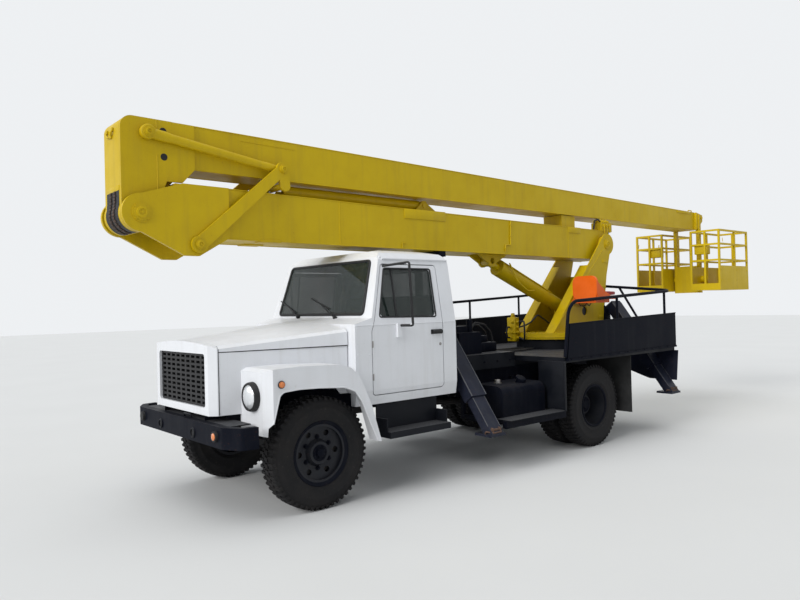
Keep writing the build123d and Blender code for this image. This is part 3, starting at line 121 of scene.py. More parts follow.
def add_tube(mesh, route, radius, bend=0, closed=False):
    """A round tube along a route, each corner rounded from this far before it to this far after it."""
    corners = [Vector(point) for point in route]
    points = []
    for index, corner in enumerate(corners):
        if bend and (closed or 0 < index < len(corners) - 1):
            before = corners[index - 1]
            after = corners[(index + 1) % len(corners)]
            points.append(corner + (before - corner).normalized() * bend)
            points.append(corner)
            points.append(corner + (after - corner).normalized() * bend)
        else:
            points.append(corner)
    line = bpy.data.curves.new("route", "CURVE")
    line.dimensions = "3D"
    spline = line.splines.new("NURBS")
    spline.points.add(len(points) - 1)
    for place, point in zip(spline.points, points):
        place.co = (*point, 1)
    spline.order_u = 3
    spline.use_endpoint_u = not closed
    spline.use_cyclic_u = closed
    spline.resolution_u = 4
    line.bevel_depth = radius
    line.bevel_resolution = 3
    line.use_fill_caps = True
    holder = bpy.data.objects.new("route", line)
    swept = bpy.data.meshes.new_from_object(holder)
    mesh.from_mesh(swept)
    bpy.data.objects.remove(holder)
    bpy.data.curves.remove(line)
    bpy.data.meshes.remove(swept)


def add_bolt(mesh, spot, axis, size):
    """A hexagon bolt head on its washer."""
    add_round(mesh, spot, axis, size * 1.25, size * 0.25, 12)
    add_round(mesh, spot, axis, size, size * 0.9, 6)


def ring_spots(centre, axis, ring_radius, count, start=0.0):
    """Points evenly round an axis."""
    spots = []
    for index in range(count):
        angle = start + tau * index / count
        spots.append(stand(centre, axis) @ Vector((ring_radius * cos(angle), ring_radius * sin(angle), 0)))
    return spots


def add_bolts(mesh, centre, axis, ring_radius, count, size, start=0.0):
    """Bolt heads on washers, evenly round an axis."""
    for spot in ring_spots(centre, axis, ring_radius, count, start):
        add_bolt(mesh, spot, axis, size)


def add_copy(mesh, pattern, matrix):
    """A copy of a finished pattern mesh at a place."""
    known = set(mesh.verts)
    mesh.from_mesh(pattern)
    made = [vert for vert in mesh.verts if vert not in known]
    bmesh.ops.transform(mesh, matrix=matrix, verts=made)


def pattern_of(mesh):
    """Keep a drawn mesh as a pattern for add_copy."""
    bmesh.ops.recalc_face_normals(mesh, faces=mesh.faces)
    pattern = bpy.data.meshes.new("pattern")
    mesh.to_mesh(pattern)
    mesh.free()
    return pattern


def finish_piece(name, mesh, body, finish, crease=35):
    """Put a drawn mesh in the frame, give it its finish, and fix it to the body that carries it."""
    bmesh.ops.recalc_face_normals(mesh, faces=mesh.faces)
    bmesh.ops.transform(mesh, matrix=to_frame, verts=mesh.verts)
    data = bpy.data.meshes.new(name)
    mesh.to_mesh(data)
    mesh.free()
    data.polygons.foreach_set("use_smooth", [True] * len(data.polygons))
    data.set_sharp_from_angle(angle=radians(crease))
    data.materials.append(finish)
    piece = bpy.data.objects.new(name, data)
    bpy.context.scene.collection.objects.link(piece)
    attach(piece, body)
    return piece


# Finishes

boom_yellow = (0.55, 0.385, 0.0)
chrome = (0.75, 0.76, 0.78)


def add_node(tree, kind, values=(), **settings):
    """A shader node with its settings, and values for its sockets by name."""
    node = tree.nodes.new(kind)
    for name, value in settings.items():
        setattr(node, name, value)
    for name, value in dict(values).items():
        node.inputs[name].default_value = value
    return node


def open_group(name, inputs, outputs):
    """A node group with number inputs and the outputs named."""
    group = bpy.data.node_groups.new(name, "ShaderNodeTree")
    for label, value in inputs:
        socket = group.interface.new_socket(label, in_out="INPUT", socket_type="NodeSocketFloat")
        socket.default_value = value
    for label in outputs:
        group.interface.new_socket(label, in_out="OUTPUT", socket_type="NodeSocketFloat")
    return group, group.nodes.new("NodeGroupInput"), group.nodes.new("NodeGroupOutput")


def masked(tree, source, low, high, out):
    """A soft step of a value between two limits, sent to a socket."""
    step = add_node(tree, "ShaderNodeMapRange", {"From Min": low, "From Max": high})
    tree.links.new(source, step.inputs["Value"])
    tree.links.new(step.outputs["Result"], out)


def make_weathering():
    """Masks of age on paint: broad patches, fine flecks, rain streaks, dust on top, dirt low down."""
    group, given, made = open_group("weathering", [("Patch Scale", 2.5), ("Fleck Scale", 55.0)],
                                    ["Patch", "Fleck", "Streak", "Settled", "Low"])
    place = add_node(group, "ShaderNodeTexCoord")
    patch = add_node(group, "ShaderNodeTexNoise", {"Detail": 6.0, "Roughness": 0.62})
    group.links.new(place.outputs["Object"], patch.inputs["Vector"])
    group.links.new(given.outputs["Patch Scale"], patch.inputs["Scale"])
    masked(group, patch.outputs["Fac"], 0.38, 0.66, made.inputs["Patch"])
    fleck = add_node(group, "ShaderNodeTexNoise", {"Detail": 3.0, "Roughness": 0.7})
    group.links.new(place.outputs["Object"], fleck.inputs["Vector"])
    group.links.new(given.outputs["Fleck Scale"], fleck.inputs["Scale"])
    masked(group, fleck.outputs["Fac"], 0.62, 0.7, made.inputs["Fleck"])
    squeeze = add_node(group, "ShaderNodeMapping", {"Scale": (14.0, 14.0, 0.9)})
    streak = add_node(group, "ShaderNodeTexNoise", {"Scale": 1.0, "Detail": 4.0, "Roughness": 0.6})
    group.links.new(place.outputs["Object"], squeeze.inputs["Vector"])
    group.links.new(squeeze.outputs["Vector"], streak.inputs["Vector"])
    masked(group, streak.outputs["Fac"], 0.5, 0.75, made.inputs["Streak"])
    facing = add_node(group, "ShaderNodeSeparateXYZ")
    group.links.new(place.outputs["Normal"], facing.inputs["Vector"])
    masked(group, facing.outputs["Z"], 0.6, 0.98, made.inputs["Settled"])
    height = add_node(group, "ShaderNodeSeparateXYZ")
    group.links.new(place.outputs["Object"], height.inputs["Vector"])
    low = add_node(group, "ShaderNodeMapRange", {"From Min": 1.15, "From Max": 0.45})
    group.links.new(height.outputs["Z"], low.inputs["Value"])
    group.links.new(low.outputs["Result"], made.inputs["Low"])
    return group


def make_brushwork():
    """The small ups and downs of paint put on by brush, as a height."""
    group, given, made = open_group("brushwork", [("Scale", 9.0)], ["Height"])
    place = add_node(group, "ShaderNodeTexCoord")
    waves = add_node(group, "ShaderNodeTexNoise", {"Detail": 2.0, "Roughness": 0.4})
    group.links.new(place.outputs["Object"], waves.inputs["Vector"])
    group.links.new(given.outputs["Scale"], waves.inputs["Scale"])
    bristle = add_node(group, "ShaderNodeTexNoise", {"Scale": 140.0, "Detail": 2.0})
    group.links.new(place.outputs["Object"], bristle.inputs["Vector"])
    both = add_node(group, "ShaderNodeMath", operation="MULTIPLY_ADD")
    both.inputs[1].default_value = 0.12
    group.links.new(bristle.outputs["Fac"], both.inputs[0])
    group.links.new(waves.outputs["Fac"], both.inputs[2])
    group.links.new(both.outputs["Value"], made.inputs["Height"])
    return group


weathering = make_weathering()
brushwork = make_brushwork()


def open_finish(name, **sockets):
    """A new material and its main shader, with plain values on the shader's own sockets."""
    finish = bpy.data.materials.new(name)
    finish.use_nodes = True
    shader = finish.node_tree.nodes["Principled BSDF"]
    for label, value in sockets.items():
        shader.inputs[label.replace("_", " ")].default_value = value
    return finish, finish.node_tree, shader


def add_group(tree, group, values=()):
    """One of the shared effects, placed in a material."""
    node = add_node(tree, "ShaderNodeGroup", node_tree=group)
    for name, value in dict(values).items():
        node.inputs[name].default_value = value
    return node


def tinted(tree, under, over, mask, share):
    """A colour laid over another where a mask says, up to this share."""
    scaled = add_node(tree, "ShaderNodeMath", operation="MULTIPLY")
    scaled.inputs[1].default_value = share
    tree.links.new(mask, scaled.inputs[0])
    mix = add_node(tree, "ShaderNodeMix", data_type="RGBA")
    tree.links.new(scaled.outputs["Value"], mix.inputs["Factor"])
    for socket, colour in ((mix.inputs["A"], under), (mix.inputs["B"], over)):
        if isinstance(colour, tuple):
            socket.default_value = (*colour, 1)
        else:
            tree.links.new(colour, socket)
    return mix.outputs["Result"]


def both_masks(tree, first, second):
    """Where two masks are both on."""
    product = add_node(tree, "ShaderNodeMath", operation="MULTIPLY")
    tree.links.new(first, product.inputs[0])
    tree.links.new(second, product.inputs[1])
    return product.outputs["Value"]


def relief(tree, shader, height, strength, distance):
    """Bump from a height, into the shader's normal."""
    bump = add_node(tree, "ShaderNodeBump", {"Strength": strength, "Distance": distance})
    tree.links.new(height, bump.inputs["Height"])
    tree.links.new(bump.outputs["Normal"], shader.inputs["Normal"])


def roughened(tree, shader, mask, low, high):
    """Roughness between two values by a mask."""
    spread = add_node(tree, "ShaderNodeMapRange", {"To Min": low, "To Max": high})
    tree.links.new(mask, spread.inputs["Value"])
    tree.links.new(spread.outputs["Result"], shader.inputs["Roughness"])


def painted(name, colour, worn, dust, dust_share, low_share, rust_share, gloss, shine, wave=9.0,
            wave_depth=0.25):
    """Brushed paint with patches, streaks, dust on top, dirt low down and a few rusty flecks."""
    finish, tree, shader = open_finish(name, Specular_IOR_Level=shine)
    age = add_group(tree, weathering)
    tone = tinted(tree, colour, worn, age.outputs["Patch"], 0.6)
    tone = tinted(tree, tone, dust, age.outputs["Streak"], 0.18)
    tone = tinted(tree, tone, dust, age.outputs["Settled"], dust_share)
    tone = tinted(tree, tone, dust, both_masks(tree, age.outputs["Low"], age.outputs["Patch"]), low_share)
    rust = (0.16, 0.055, 0.02)
    tone = tinted(tree, tone, rust, both_masks(tree, age.outputs["Fleck"], age.outputs["Patch"]), rust_share)
    tree.links.new(tone, shader.inputs["Base Color"])
    roughened(tree, shader, age.outputs["Patch"], gloss, gloss + 0.16)
    brush = add_group(tree, brushwork, {"Scale": wave})
    relief(tree, shader, brush.outputs["Height"], wave_depth, 0.004)
    return finish


def make_deck_plate():
    """Black deck paint with raised studs in rows and dry grey dust on the floor."""
    finish, tree, shader = open_finish("deck_plate", Specular_IOR_Level=0.16)
    age = add_group(tree, weathering, {"Patch Scale": 3.5})
    tone = tinted(tree, (0.004, 0.005, 0.008), (0.012, 0.013, 0.017), age.outputs["Patch"], 0.7)
    tone = tinted(tree, tone, (0.075, 0.076, 0.08), age.outputs["Settled"], 0.6)
    tree.links.new(tone, shader.inputs["Base Color"])
    roughened(tree, shader, age.outputs["Patch"], 0.45, 0.75)
    place = add_node(tree, "ShaderNodeTexCoord")
    turned = add_node(tree, "ShaderNodeMapping", {"Rotation": (0, 0, radians(45)), "Scale": (1, 1, 0.0)})
    studs = add_node(tree, "ShaderNodeTexVoronoi", {"Scale": 26.0, "Randomness": 0.0})
    tree.links.new(place.outputs["Object"], turned.inputs["Vector"])
    tree.links.new(turned.outputs["Vector"], studs.inputs["Vector"])
    stud = add_node(tree, "ShaderNodeMapRange",
                    {"From Min": 0.2, "From Max": 0.34, "To Min": 1.0, "To Max": 0.0})
    tree.links.new(studs.outputs["Distance"], stud.inputs["Value"])
    upper = both_masks(tree, stud.outputs["Result"], age.outputs["Settled"])
    relief(tree, shader, upper, 0.6, 0.003)
    return finish


def make_tyre_rubber():
    """Worn rubber, dusty brown-grey between the lugs and on the walls."""
    finish, tree, shader = open_finish("tyre_rubber", Specular_IOR_Level=0.2)
    age = add_group(tree, weathering, {"Patch Scale": 5.0, "Fleck Scale": 40.0})
    tone = tinted(tree, (0.0085, 0.0085, 0.0095), (0.026, 0.024, 0.0235), age.outputs["Patch"], 0.7)
    tone = tinted(tree, tone, (0.08, 0.07, 0.062), age.outputs["Fleck"], 0.3)
    tree.links.new(tone, shader.inputs["Base Color"])
    roughened(tree, shader, age.outputs["Patch"], 0.68, 0.92)
    brush = add_group(tree, brushwork, {"Scale": 60.0})
    relief(tree, shader, brush.outputs["Height"], 0.35, 0.003)
    return finish


def make_window_glass():
    """Dark, slightly green window glass with a little dust, seen through."""
    finish, tree, shader = open_finish("window_glass", Roughness=0.03, IOR=1.5)
    age = add_group(tree, weathering, {"Patch Scale": 4.0})
    tone = tinted(tree, (0.02, 0.03, 0.027), (0.2, 0.2, 0.18), age.outputs["Streak"], 0.12)
    tree.links.new(tone, shader.inputs["Base Color"])
    veil = add_node(tree, "ShaderNodeMapRange", {"To Min": 0.54, "To Max": 0.66})
    tree.links.new(age.outputs["Patch"], veil.inputs["Value"])
    tree.links.new(veil.outputs["Result"], shader.inputs["Alpha"])
    return finish


def make_vinyl(name, colour):
    """Grained seat covering."""
    finish, tree, shader = open_finish(name)
    age = add_group(tree, weathering, {"Patch Scale": 6.0})
    worn = tuple(min(1.0, part * 1.9 + 0.02) for part in colour)
    tree.links.new(tinted(tree, colour, worn, age.outputs["Patch"], 0.5), shader.inputs["Base Color"])
    roughened(tree, shader, age.outputs["Patch"], 0.45, 0.7)
    place = add_node(tree, "ShaderNodeTexCoord")
    grain = add_node(tree, "ShaderNodeTexVoronoi", {"Scale": 420.0})
    tree.links.new(place.outputs["Object"], grain.inputs["Vector"])
    relief(tree, shader, grain.outputs["Distance"], 0.35, 0.0012)
    return finish


def make_moulded(name, colour, gloss, worn_share=0.4):
    """Moulded plastic or rubber with a fine grain and rubbed patches."""
    finish, tree, shader = open_finish(name, Specular_IOR_Level=0.28)
    age = add_group(tree, weathering, {"Patch Scale": 7.0})
    worn = tuple(min(1.0, part * 1.35 + 0.03) for part in colour)
    tree.links.new(tinted(tree, colour, worn, age.outputs["Patch"], worn_share), shader.inputs["Base Color"])
    roughened(tree, shader, age.outputs["Patch"], gloss, gloss + 0.18)
    brush = add_group(tree, brushwork, {"Scale": 90.0})
    relief(tree, shader, brush.outputs["Height"], 0.15, 0.001)
    return finish


def make_bare_metal(name, colour, gloss):
    """Bright or greasy bare metal with fine scratches along it."""
    finish, tree, shader = open_finish(name, Metallic=1.0)
    age = add_group(tree, weathering, {"Patch Scale": 9.0})
    dull = tuple(part * 0.55 for part in colour)
    tree.links.new(tinted(tree, colour, dull, age.outputs["Patch"], 0.5), shader.inputs["Base Color"])
    roughened(tree, shader, age.outputs["Patch"], gloss, gloss + 0.2)
    brush = add_group(tree, brushwork, {"Scale": 120.0})
    relief(tree, shader, brush.outputs["Height"], 0.1, 0.0006)
    return finish


def make_painted_rod(name, eye, reach):
    """Chromed rod with its eye painted yellow, as far as the paint reaches from the pin."""
    finish, tree, shader = open_finish(name)
    place = add_node(tree, "ShaderNodeTexCoord")
    away = add_node(tree, "ShaderNodeVectorMath", operation="DISTANCE")
    away.inputs[1].default_value = eye
    tree.links.new(place.outputs["Object"], away.inputs[0])
    bare = add_node(tree, "ShaderNodeMapRange", {"From Min": reach - 0.004, "From Max": reach + 0.004})
    tree.links.new(away.outputs["Value"], bare.inputs["Value"])
    tone = tinted(tree, boom_yellow, chrome, bare.outputs["Result"], 1.0)
    tree.links.new(tone, shader.inputs["Base Color"])
    tree.links.new(bare.outputs["Result"], shader.inputs["Metallic"])
    age = add_group(tree, weathering, {"Patch Scale": 9.0})
    roughened(tree, shader, age.outputs["Patch"], 0.14, 0.32)
    return finish


def make_lens(name, colour, ribs, metallic=0.0):
    """A moulded lamp lens with ribs across it, over a bright bowl where it is metallic."""
    finish, tree, shader = open_finish(name, Coat_Weight=1.0, Coat_Roughness=0.03, Metallic=metallic)
    age = add_group(tree, weathering, {"Patch Scale": 12.0})
    pale = tuple(min(1.0, part * 1.3 + 0.05) for part in colour)
    tree.links.new(tinted(tree, colour, pale, age.outputs["Patch"], 0.5), shader.inputs["Base Color"])
    roughened(tree, shader, age.outputs["Patch"], 0.08, 0.18)
    place = add_node(tree, "ShaderNodeTexCoord")
    ribbing = add_node(tree, "ShaderNodeTexWave", {"Scale": ribs}, bands_direction="Y", wave_profile="SIN")
    tree.links.new(place.outputs["Object"], ribbing.inputs["Vector"])
    relief(tree, shader, ribbing.outputs["Fac"], 0.5, 0.002)
    return finish


cab_paint = painted("cab_paint", (0.71, 0.72, 0.745), worn=(0.66, 0.67, 0.69), dust=(0.46, 0.44, 0.41),
                    dust_share=0.08, low_share=0.3, rust_share=0.12, gloss=0.3, shine=0.4, wave=5.0,
                    wave_depth=0.12)
boom_paint = painted("boom_paint", boom_yellow, worn=(0.48, 0.325, 0.002), dust=(0.2, 0.14, 0.03),
                     dust_share=0.08, low_share=0.3, rust_share=0.3, gloss=0.4, shine=0.25)
deck_paint = painted("deck_paint", (0.0032, 0.0042, 0.0085), worn=(0.006, 0.0075, 0.013),
                     dust=(0.034, 0.034, 0.037), dust_share=0.22, low_share=0.1, rust_share=0.25, gloss=0.42,
                     shine=0.045)
# Rim paint: the rims' own dark navy, made lighter than the deck paint as a painted sheen
rim_paint_with_sheen = painted("rim_paint_with_sheen", (0.007, 0.0085, 0.0135), worn=(0.013, 0.0145, 0.02),
                    dust=(0.04, 0.039, 0.037), dust_share=0.25, low_share=0.25, rust_share=0.3, gloss=0.38,
                    shine=0.22)
outrigger_paint = painted("outrigger_paint", (0.007, 0.009, 0.019), worn=(0.018, 0.022, 0.042),
                          dust=(0.06, 0.06, 0.06), dust_share=0.25, low_share=0.2, rust_share=0.4,
                          gloss=0.34, shine=0.14)
# Edge paint: a blue-grey much lighter than the outrigger paint, a painted highlight for the outrigger edges
# where they catch the light
edge_highlight_paint = painted("edge_highlight_paint", (0.06, 0.065, 0.075), worn=(0.1, 0.1, 0.1), dust=(0.12, 0.11, 0.1),
                     dust_share=0.3, low_share=0.2, rust_share=0.5, gloss=0.45, shine=0.3)
machine_paint = painted("machine_paint", (0.009, 0.009, 0.011), worn=(0.024, 0.022, 0.022),
                        dust=(0.06, 0.055, 0.05), dust_share=0.35, low_share=0.3, rust_share=0.8, gloss=0.5,
                        shine=0.2)
rusty_steel = painted("rusty_steel", (0.05, 0.036, 0.03), worn=(0.12, 0.055, 0.03), dust=(0.14, 0.11, 0.09),
                      dust_share=0.2, low_share=0.2, rust_share=0.9, gloss=0.6, shine=0.2)
deck_plate = make_deck_plate()
tyre_rubber = make_tyre_rubber()
window_glass = make_window_glass()
bench_vinyl = make_vinyl("bench_vinyl", (0.045, 0.04, 0.036))
seat_pad_vinyl = make_vinyl("seat_pad_vinyl", (0.2, 0.012, 0.012))
trim_plastic = make_moulded("trim_plastic", (0.008, 0.008, 0.009), 0.45)
flap_rubber = make_moulded("flap_rubber", (0.018, 0.018, 0.018), 0.7)
hose_rubber = make_moulded("hose_rubber", (0.01, 0.01, 0.011), 0.5)
seat_shell = make_moulded("seat_shell", (0.78, 0.12, 0.004), 0.3, 0.2)
rod_chrome = make_bare_metal("rod_chrome", chrome, 0.12)
lift_rod_finish = make_painted_rod("lift_rod_finish", (axle_x - 3.150, 0, 2.255), 0.2)
worn_steel = make_bare_metal("worn_steel", (0.33, 0.32, 0.31), 0.38)
head_lens = make_lens("head_lens", (0.74, 0.76, 0.78), 60.0, metallic=0.4)
amber_lens = make_lens("amber_lens", (0.6, 0.15, 0.008), 90.0)
red_lens = make_lens("red_lens", (0.5, 0.01, 0.01), 90.0)

slot_finish = {
    "cab_white": cab_paint,
    "boom_yellow": boom_paint,
    "chassis_black": deck_paint,
    "outrigger_grey": outrigger_paint,
    "tyre": tyre_rubber,
    "glass": window_glass,
    "seat_trim": bench_vinyl,
    "dark_trim": trim_plastic,
    "machine_grey": machine_paint,
    "rod_steel": rod_chrome,
    "seat_orange": seat_shell,
    "lamp_glass": trim_plastic,
    "rubber": flap_rubber,
}
node_finish = {"deck": deck_plate, "cab_steps": deck_plate, "lift_rod": lift_rod_finish}
for rim in ("rim_front_left", "rim_front_right", "rims_rear_left", "rims_rear_right"):
    node_finish[rim] = rim_paint_with_sheen
node_slot = {part["node"]: part["material_slot"] for part in frame["record"]["subparts"]}
for node_name, node in frame["nodes"].items():
    node.data.materials.clear()
    node.data.materials.append(node_finish.get(node_name, slot_finish[node_slot[node_name]]))


# Heights of the booms' faces, their half widths and their pins, as the solids have them

def lower_top(x):
    return 2788 + 0.0129 * (x + 529)


def lower_bottom(x):
    return 2356 + 0.007 * (x - 346)


def upper_top(x):
    return 3335 + 0.0155 * (x - 1290)


def upper_bottom(x):
    return 2939 + 0.0058 * (x + 774)


lower_rear = -5474
lower_front = 480
lower_half_width = 230
upper_rear = -8188
upper_front = 958
upper_half_width = 176
head_half_width = 200
mast_pivot = (-5340, 2530)
knee_pivot = (1249, 2537)
strut_pin = (770, 2292)
rod_pin = (1175, 3207)
link_joint = (-60, 3024)


# Tyres: a rounded carcass with rings on its walls, two staggered rows of lugs and a centre row

def draw_tyre():
    """One tyre about the origin, its axis along y."""
    mesh = bmesh.new()
    half = tyre_half_width
    wall = [(bead_radius, half - 24), (bead_radius + 8, half - 15), (bead_radius + 26, half - 10),
            (bead_radius + 30, half - 6), (bead_radius + 38, half - 6), (bead_radius + 42, half - 8),
            (345, half - 3), (375, half - 1), (380, half), (388, half), (392, half - 2), (425, half - 7),
            (452, half - 14), (468, half - 30), (tyre_radius - 12, 40)]
    ring = wall + [(radius, -across) for radius, across in reversed(wall)]
    add_turned(mesh, (0, 0, 0), (0, 1, 0), ring, steps=72, closed=True)
    lug_count = 54
    lug_half = 15
    groove_radius = 462
    shoulder_radius = 446
    for side in (1, -1):
        for index in range(lug_count):
            angle = tau * (index + (0.5 if side < 0 else 0)) / lug_count
            lug = bmesh.ops.create_cube(mesh, size=2)["verts"]
            for vert in lug:
                tip = vert.co.z > 0
                shoulder = vert.co.y > 0
                narrow = 4 if tip else 0
                across = half - 18 if shoulder else 34
                vert.co.x = vert.co.x * (lug_half - narrow)
                vert.co.y = side * (half - 6 if shoulder and not tip else across)
                if tip:
                    vert.co.z = tyre_radius - (4 if shoulder else 0.2)
                else:
                    vert.co.z = shoulder_radius if shoulder else groove_radius
            bmesh.ops.rotate(mesh, cent=(0, 0, 0), matrix=Matrix.Rotation(angle, 3, "Y"), verts=lug)
    for index in range(lug_count):
        angle = tau * (index + 0.25) / lug_count
        block = bmesh.ops.create_cube(mesh, size=2)["verts"]
        for vert in block:
            vert.co.x = vert.co.x * 17 + vert.co.y * 6
            vert.co.y = vert.co.y * 25
            vert.co.z = tyre_radius - 0.5 if vert.co.z > 0 else groove_radius
        bmesh.ops.rotate(mesh, cent=(0, 0, 0), matrix=Matrix.Rotation(angle, 3, "Y"), verts=block)
    return pattern_of(mesh)


tyre_pattern = draw_tyre()
for side, word in hands:
    front = bmesh.new()
    add_copy(front, tyre_pattern, Matrix.Translation((0, side * front_wheel_y, tyre_radius)))
    tyre = finish_piece("road_tyre_front_" + word, front, "wheel_front_" + word, tyre_rubber)
    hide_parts("tyre_front_" + word)
    twins = bmesh.new()
    for across in (twin_inner_y, twin_outer_y):
        add_copy(twins, tyre_pattern, Matrix.Translation((rear_axle_x, side * across, tyre_radius)))
    tyres = finish_piece("road_tyres_rear_" + word, twins, "wheels_rear_" + word, tyre_rubber)
    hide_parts("tyres_rear_" + word)


# Wheel fittings: nuts and studs, hub caps, lock rings and brake drums

def draw_front_fittings():
    """Fittings of a front wheel about the origin, outer side along y."""
    mesh = bmesh.new()
    disc_face = 34
    hub_face = 76
    nut_circle = 134
    add_bolts(mesh, (0, disc_face, 0), (0, 1, 0), nut_circle, 6, 17, start=pi / 6)
    for stud in ring_spots((0, disc_face, 0), (0, 1, 0), nut_circle, 6, start=pi / 6):
        add_round(mesh, stud, (0, 1, 0), 9, 26, 12)
    add_turned(mesh, (0, hub_face - 2, 0), (0, 1, 0),
               [(0, 38), (22, 37), (36, 31), (42, 22), (43, 8), (70, 6), (72, 0), (0, 0)], steps=40)
    add_bolts(mesh, (0, hub_face + 3, 0), (0, 1, 0), 57, 6, 7)
    add_turned(mesh, (0, tyre_half_width, 0), (0, 1, 0),
               [(bead_radius - 20, -46), (bead_radius - 20, -30), (bead_radius - 4, -20),
                (bead_radius + 10, -7), (bead_radius + 22, -4), (bead_radius + 26, -8),
                (bead_radius + 22, -16), (bead_radius, -34)], steps=64, closed=True)
    return pattern_of(mesh)


def draw_drum():
    """The brake drum inside a front wheel, about the wheel's middle, with cooling ribs round it."""
    mesh = bmesh.new()
    drum_radius = 212
    profile = [(126, -92), (drum_radius, -92)]
    for rib in range(5):
        along = -86 + 18 * rib
        profile += [(drum_radius, along), (drum_radius - 8, along + 3), (drum_radius - 8, along + 9),
                    (drum_radius, along + 12)]
    profile += [(drum_radius, 0), (196, 12), (126, 12)]
    add_turned(mesh, (0, 0, 0), (0, 1, 0), profile, steps=64, closed=True)
    return pattern_of(mesh)


def draw_rear_fittings():
    """Fittings of a twin wheel about the point between its tyres, outer side along y."""
    mesh = bmesh.new()
    disc_face = 22
    hub_face = 105
    nut_circle = 152
    add_bolts(mesh, (0, disc_face, 0), (0, 1, 0), nut_circle, 6, 18, start=pi / 6)
    add_turned(mesh, (0, hub_face - 2, 0), (0, 1, 0),
               [(0, 26), (50, 26), (58, 20), (60, 10), (92, 8), (94, 0), (0, 0)], steps=40)
    add_bolts(mesh, (0, hub_face + 5, 0), (0, 1, 0), 76, 8, 8)
    outer_rim = (twin_outer_y - twin_inner_y) / 2 + 80
    add_turned(mesh, (0, outer_rim, 0), (0, 1, 0),
               [(bead_radius - 6, 10), (bead_radius - 2, 18), (bead_radius - 14, 22), (bead_radius - 28, 16),
                (bead_radius - 28, 8), (bead_radius - 12, 6)], steps=64, closed=True)
    return pattern_of(mesh)


front_fittings = draw_front_fittings()
brake_drum = draw_drum()
rear_fittings = draw_rear_fittings()
for side, word in hands:
    outward = Matrix.Rotation(0 if side > 0 else pi, 4, "Z")
    mesh = bmesh.new()
    add_copy(mesh, front_fittings, Matrix.Translation((0, side * front_wheel_y, tyre_radius)) @ outward)
    finish_piece("wheel_nuts_front_" + word, mesh, "wheel_front_" + word, deck_paint)
    mesh = bmesh.new()
    add_copy(mesh, brake_drum, Matrix.Translation((0, side * front_wheel_y, tyre_radius)) @ outward)
    finish_piece("brake_drum_" + word, mesh, "wheel_front_" + word, machine_paint)
    mesh = bmesh.new()
    middle = (twin_inner_y + twin_outer_y) / 2
    add_copy(mesh, rear_fittings, Matrix.Translation((rear_axle_x, side * middle, tyre_radius)) @ outward)
    finish_piece("wheel_nuts_rear_" + word, mesh, "wheels_rear_" + word, deck_paint)


# Cab fittings: window rubbers, gutter, belt crease, wipers, handles and screws

screen_foot = (-599, 1622)
screen_head = (-766, 2194)
screen_run = hypot(screen_head[0] - screen_foot[0], screen_head[1] - screen_foot[1])
screen_up = Vector((screen_head[0] - screen_foot[0], 0, screen_head[1] - screen_foot[1])) / screen_run
screen_out = Vector((screen_up.z, 0, -screen_up.x))
screen_middle = Vector(((screen_foot[0] + screen_head[0]) / 2, 0, (screen_foot[1] + screen_head[1]) / 2))
cab_half_width = 905
belt_z = 1549
crease_z = 1556
gutter_z = 2170
gutter_half_width = 802
cab_rear = -1662


def on_screen(y, along, proud=0.0):
    """A point on the windscreen's plane, this far up it and in front of it."""
    return screen_middle + Vector((0, y, 0)) + screen_up * along + screen_out * proud


def on_cab_side(x, z, side, proud=0.0):
    """A point on the cab's side, which leans in above the belt."""
    lean = (cab_half_width - gutter_half_width) / (gutter_z - belt_z)
    return Vector((x, side * (cab_half_width - max(0, z - belt_z) * lean + proud), z))


def draw_wiper(mesh, spindle, elbow, blade_start, blade_end):
    """A wiper arm from its spindle to its elbow, and the blade under it, as y and distance up the glass."""
    foot = on_screen(*spindle, 4)
    add_turned(mesh, foot, screen_out, [(0, 34), (12, 33), (17, 26), (18, 0), (0, 0)], steps=20)
    halfway = [(first + last) / 2 for first, last in zip(spindle, elbow)]
    add_tube(mesh, [on_screen(*spindle, 28), on_screen(*halfway, 36), on_screen(*elbow, 24)], 6)
    add_tube(mesh, [on_screen(*blade_start, 14), on_screen(*elbow, 22), on_screen(*blade_end, 14)], 7)
    add_tube(mesh, [on_screen(*blade_start, 7), on_screen(*blade_end, 7)], 4)


cab_rubber = bmesh.new()
screen_low = screen_run / 2 - 35
screen_corners = ((750, -screen_low), (695, screen_low), (-695, screen_low), (-750, -screen_low))
add_tube(cab_rubber, [on_screen(y, along, 3) for y, along in screen_corners], 15, bend=80, closed=True)
rear_half_y = 550
rear_half_z = 190
rear_window_z = 1900
rear_corners = ((rear_half_y, rear_window_z - rear_half_z), (rear_half_y, rear_window_z + rear_half_z),
                (-rear_half_y, rear_window_z + rear_half_z), (-rear_half_y, rear_window_z - rear_half_z))
add_tube(cab_rubber, [(cab_rear - 2, y, z) for y, z in rear_corners], 12, bend=66, closed=True)
finish_piece("window_rubber", cab_rubber, "chassis", hose_rubber)

wipers = bmesh.new()
draw_wiper(wipers, (329, -300), (60, -170), (-165, -95), (190, -205))
draw_wiper(wipers, (-347, -290), (-500, -205), (-771, -110), (-420, -250))
finish_piece("wipers", wipers, "chassis", trim_plastic)

cab_trim = bmesh.new()
gutter_front = -800
for side in (1, -1):
    add_tube(cab_trim, [on_cab_side(x, gutter_z + 6, side, 5) for x in (gutter_front, cab_rear + 16)], 9)
    add_tube(cab_trim, [on_cab_side(x, crease_z, side) for x in (-1500, cab_rear + 8)], 5)
    add_tube(cab_trim, [on_cab_side(x, crease_z, side) for x in (-405, -574)], 5)
    for x, z in ((-420, 1532), (-555, 1532), (-420, 1290), (-555, 1290)):
        add_turned(cab_trim, on_cab_side(x, z, side), (0, side, 0),
                   [(0, 4), (6, 3), (8, 0), (0, 0)], steps=12)
add_tube(cab_trim, [(-790, -795, 2190), (-800, -700, 2214), (-800, 700, 2214), (-790, 795, 2190)], 8, bend=60)
finish_piece("cab_gutter", cab_trim, "chassis", cab_paint)

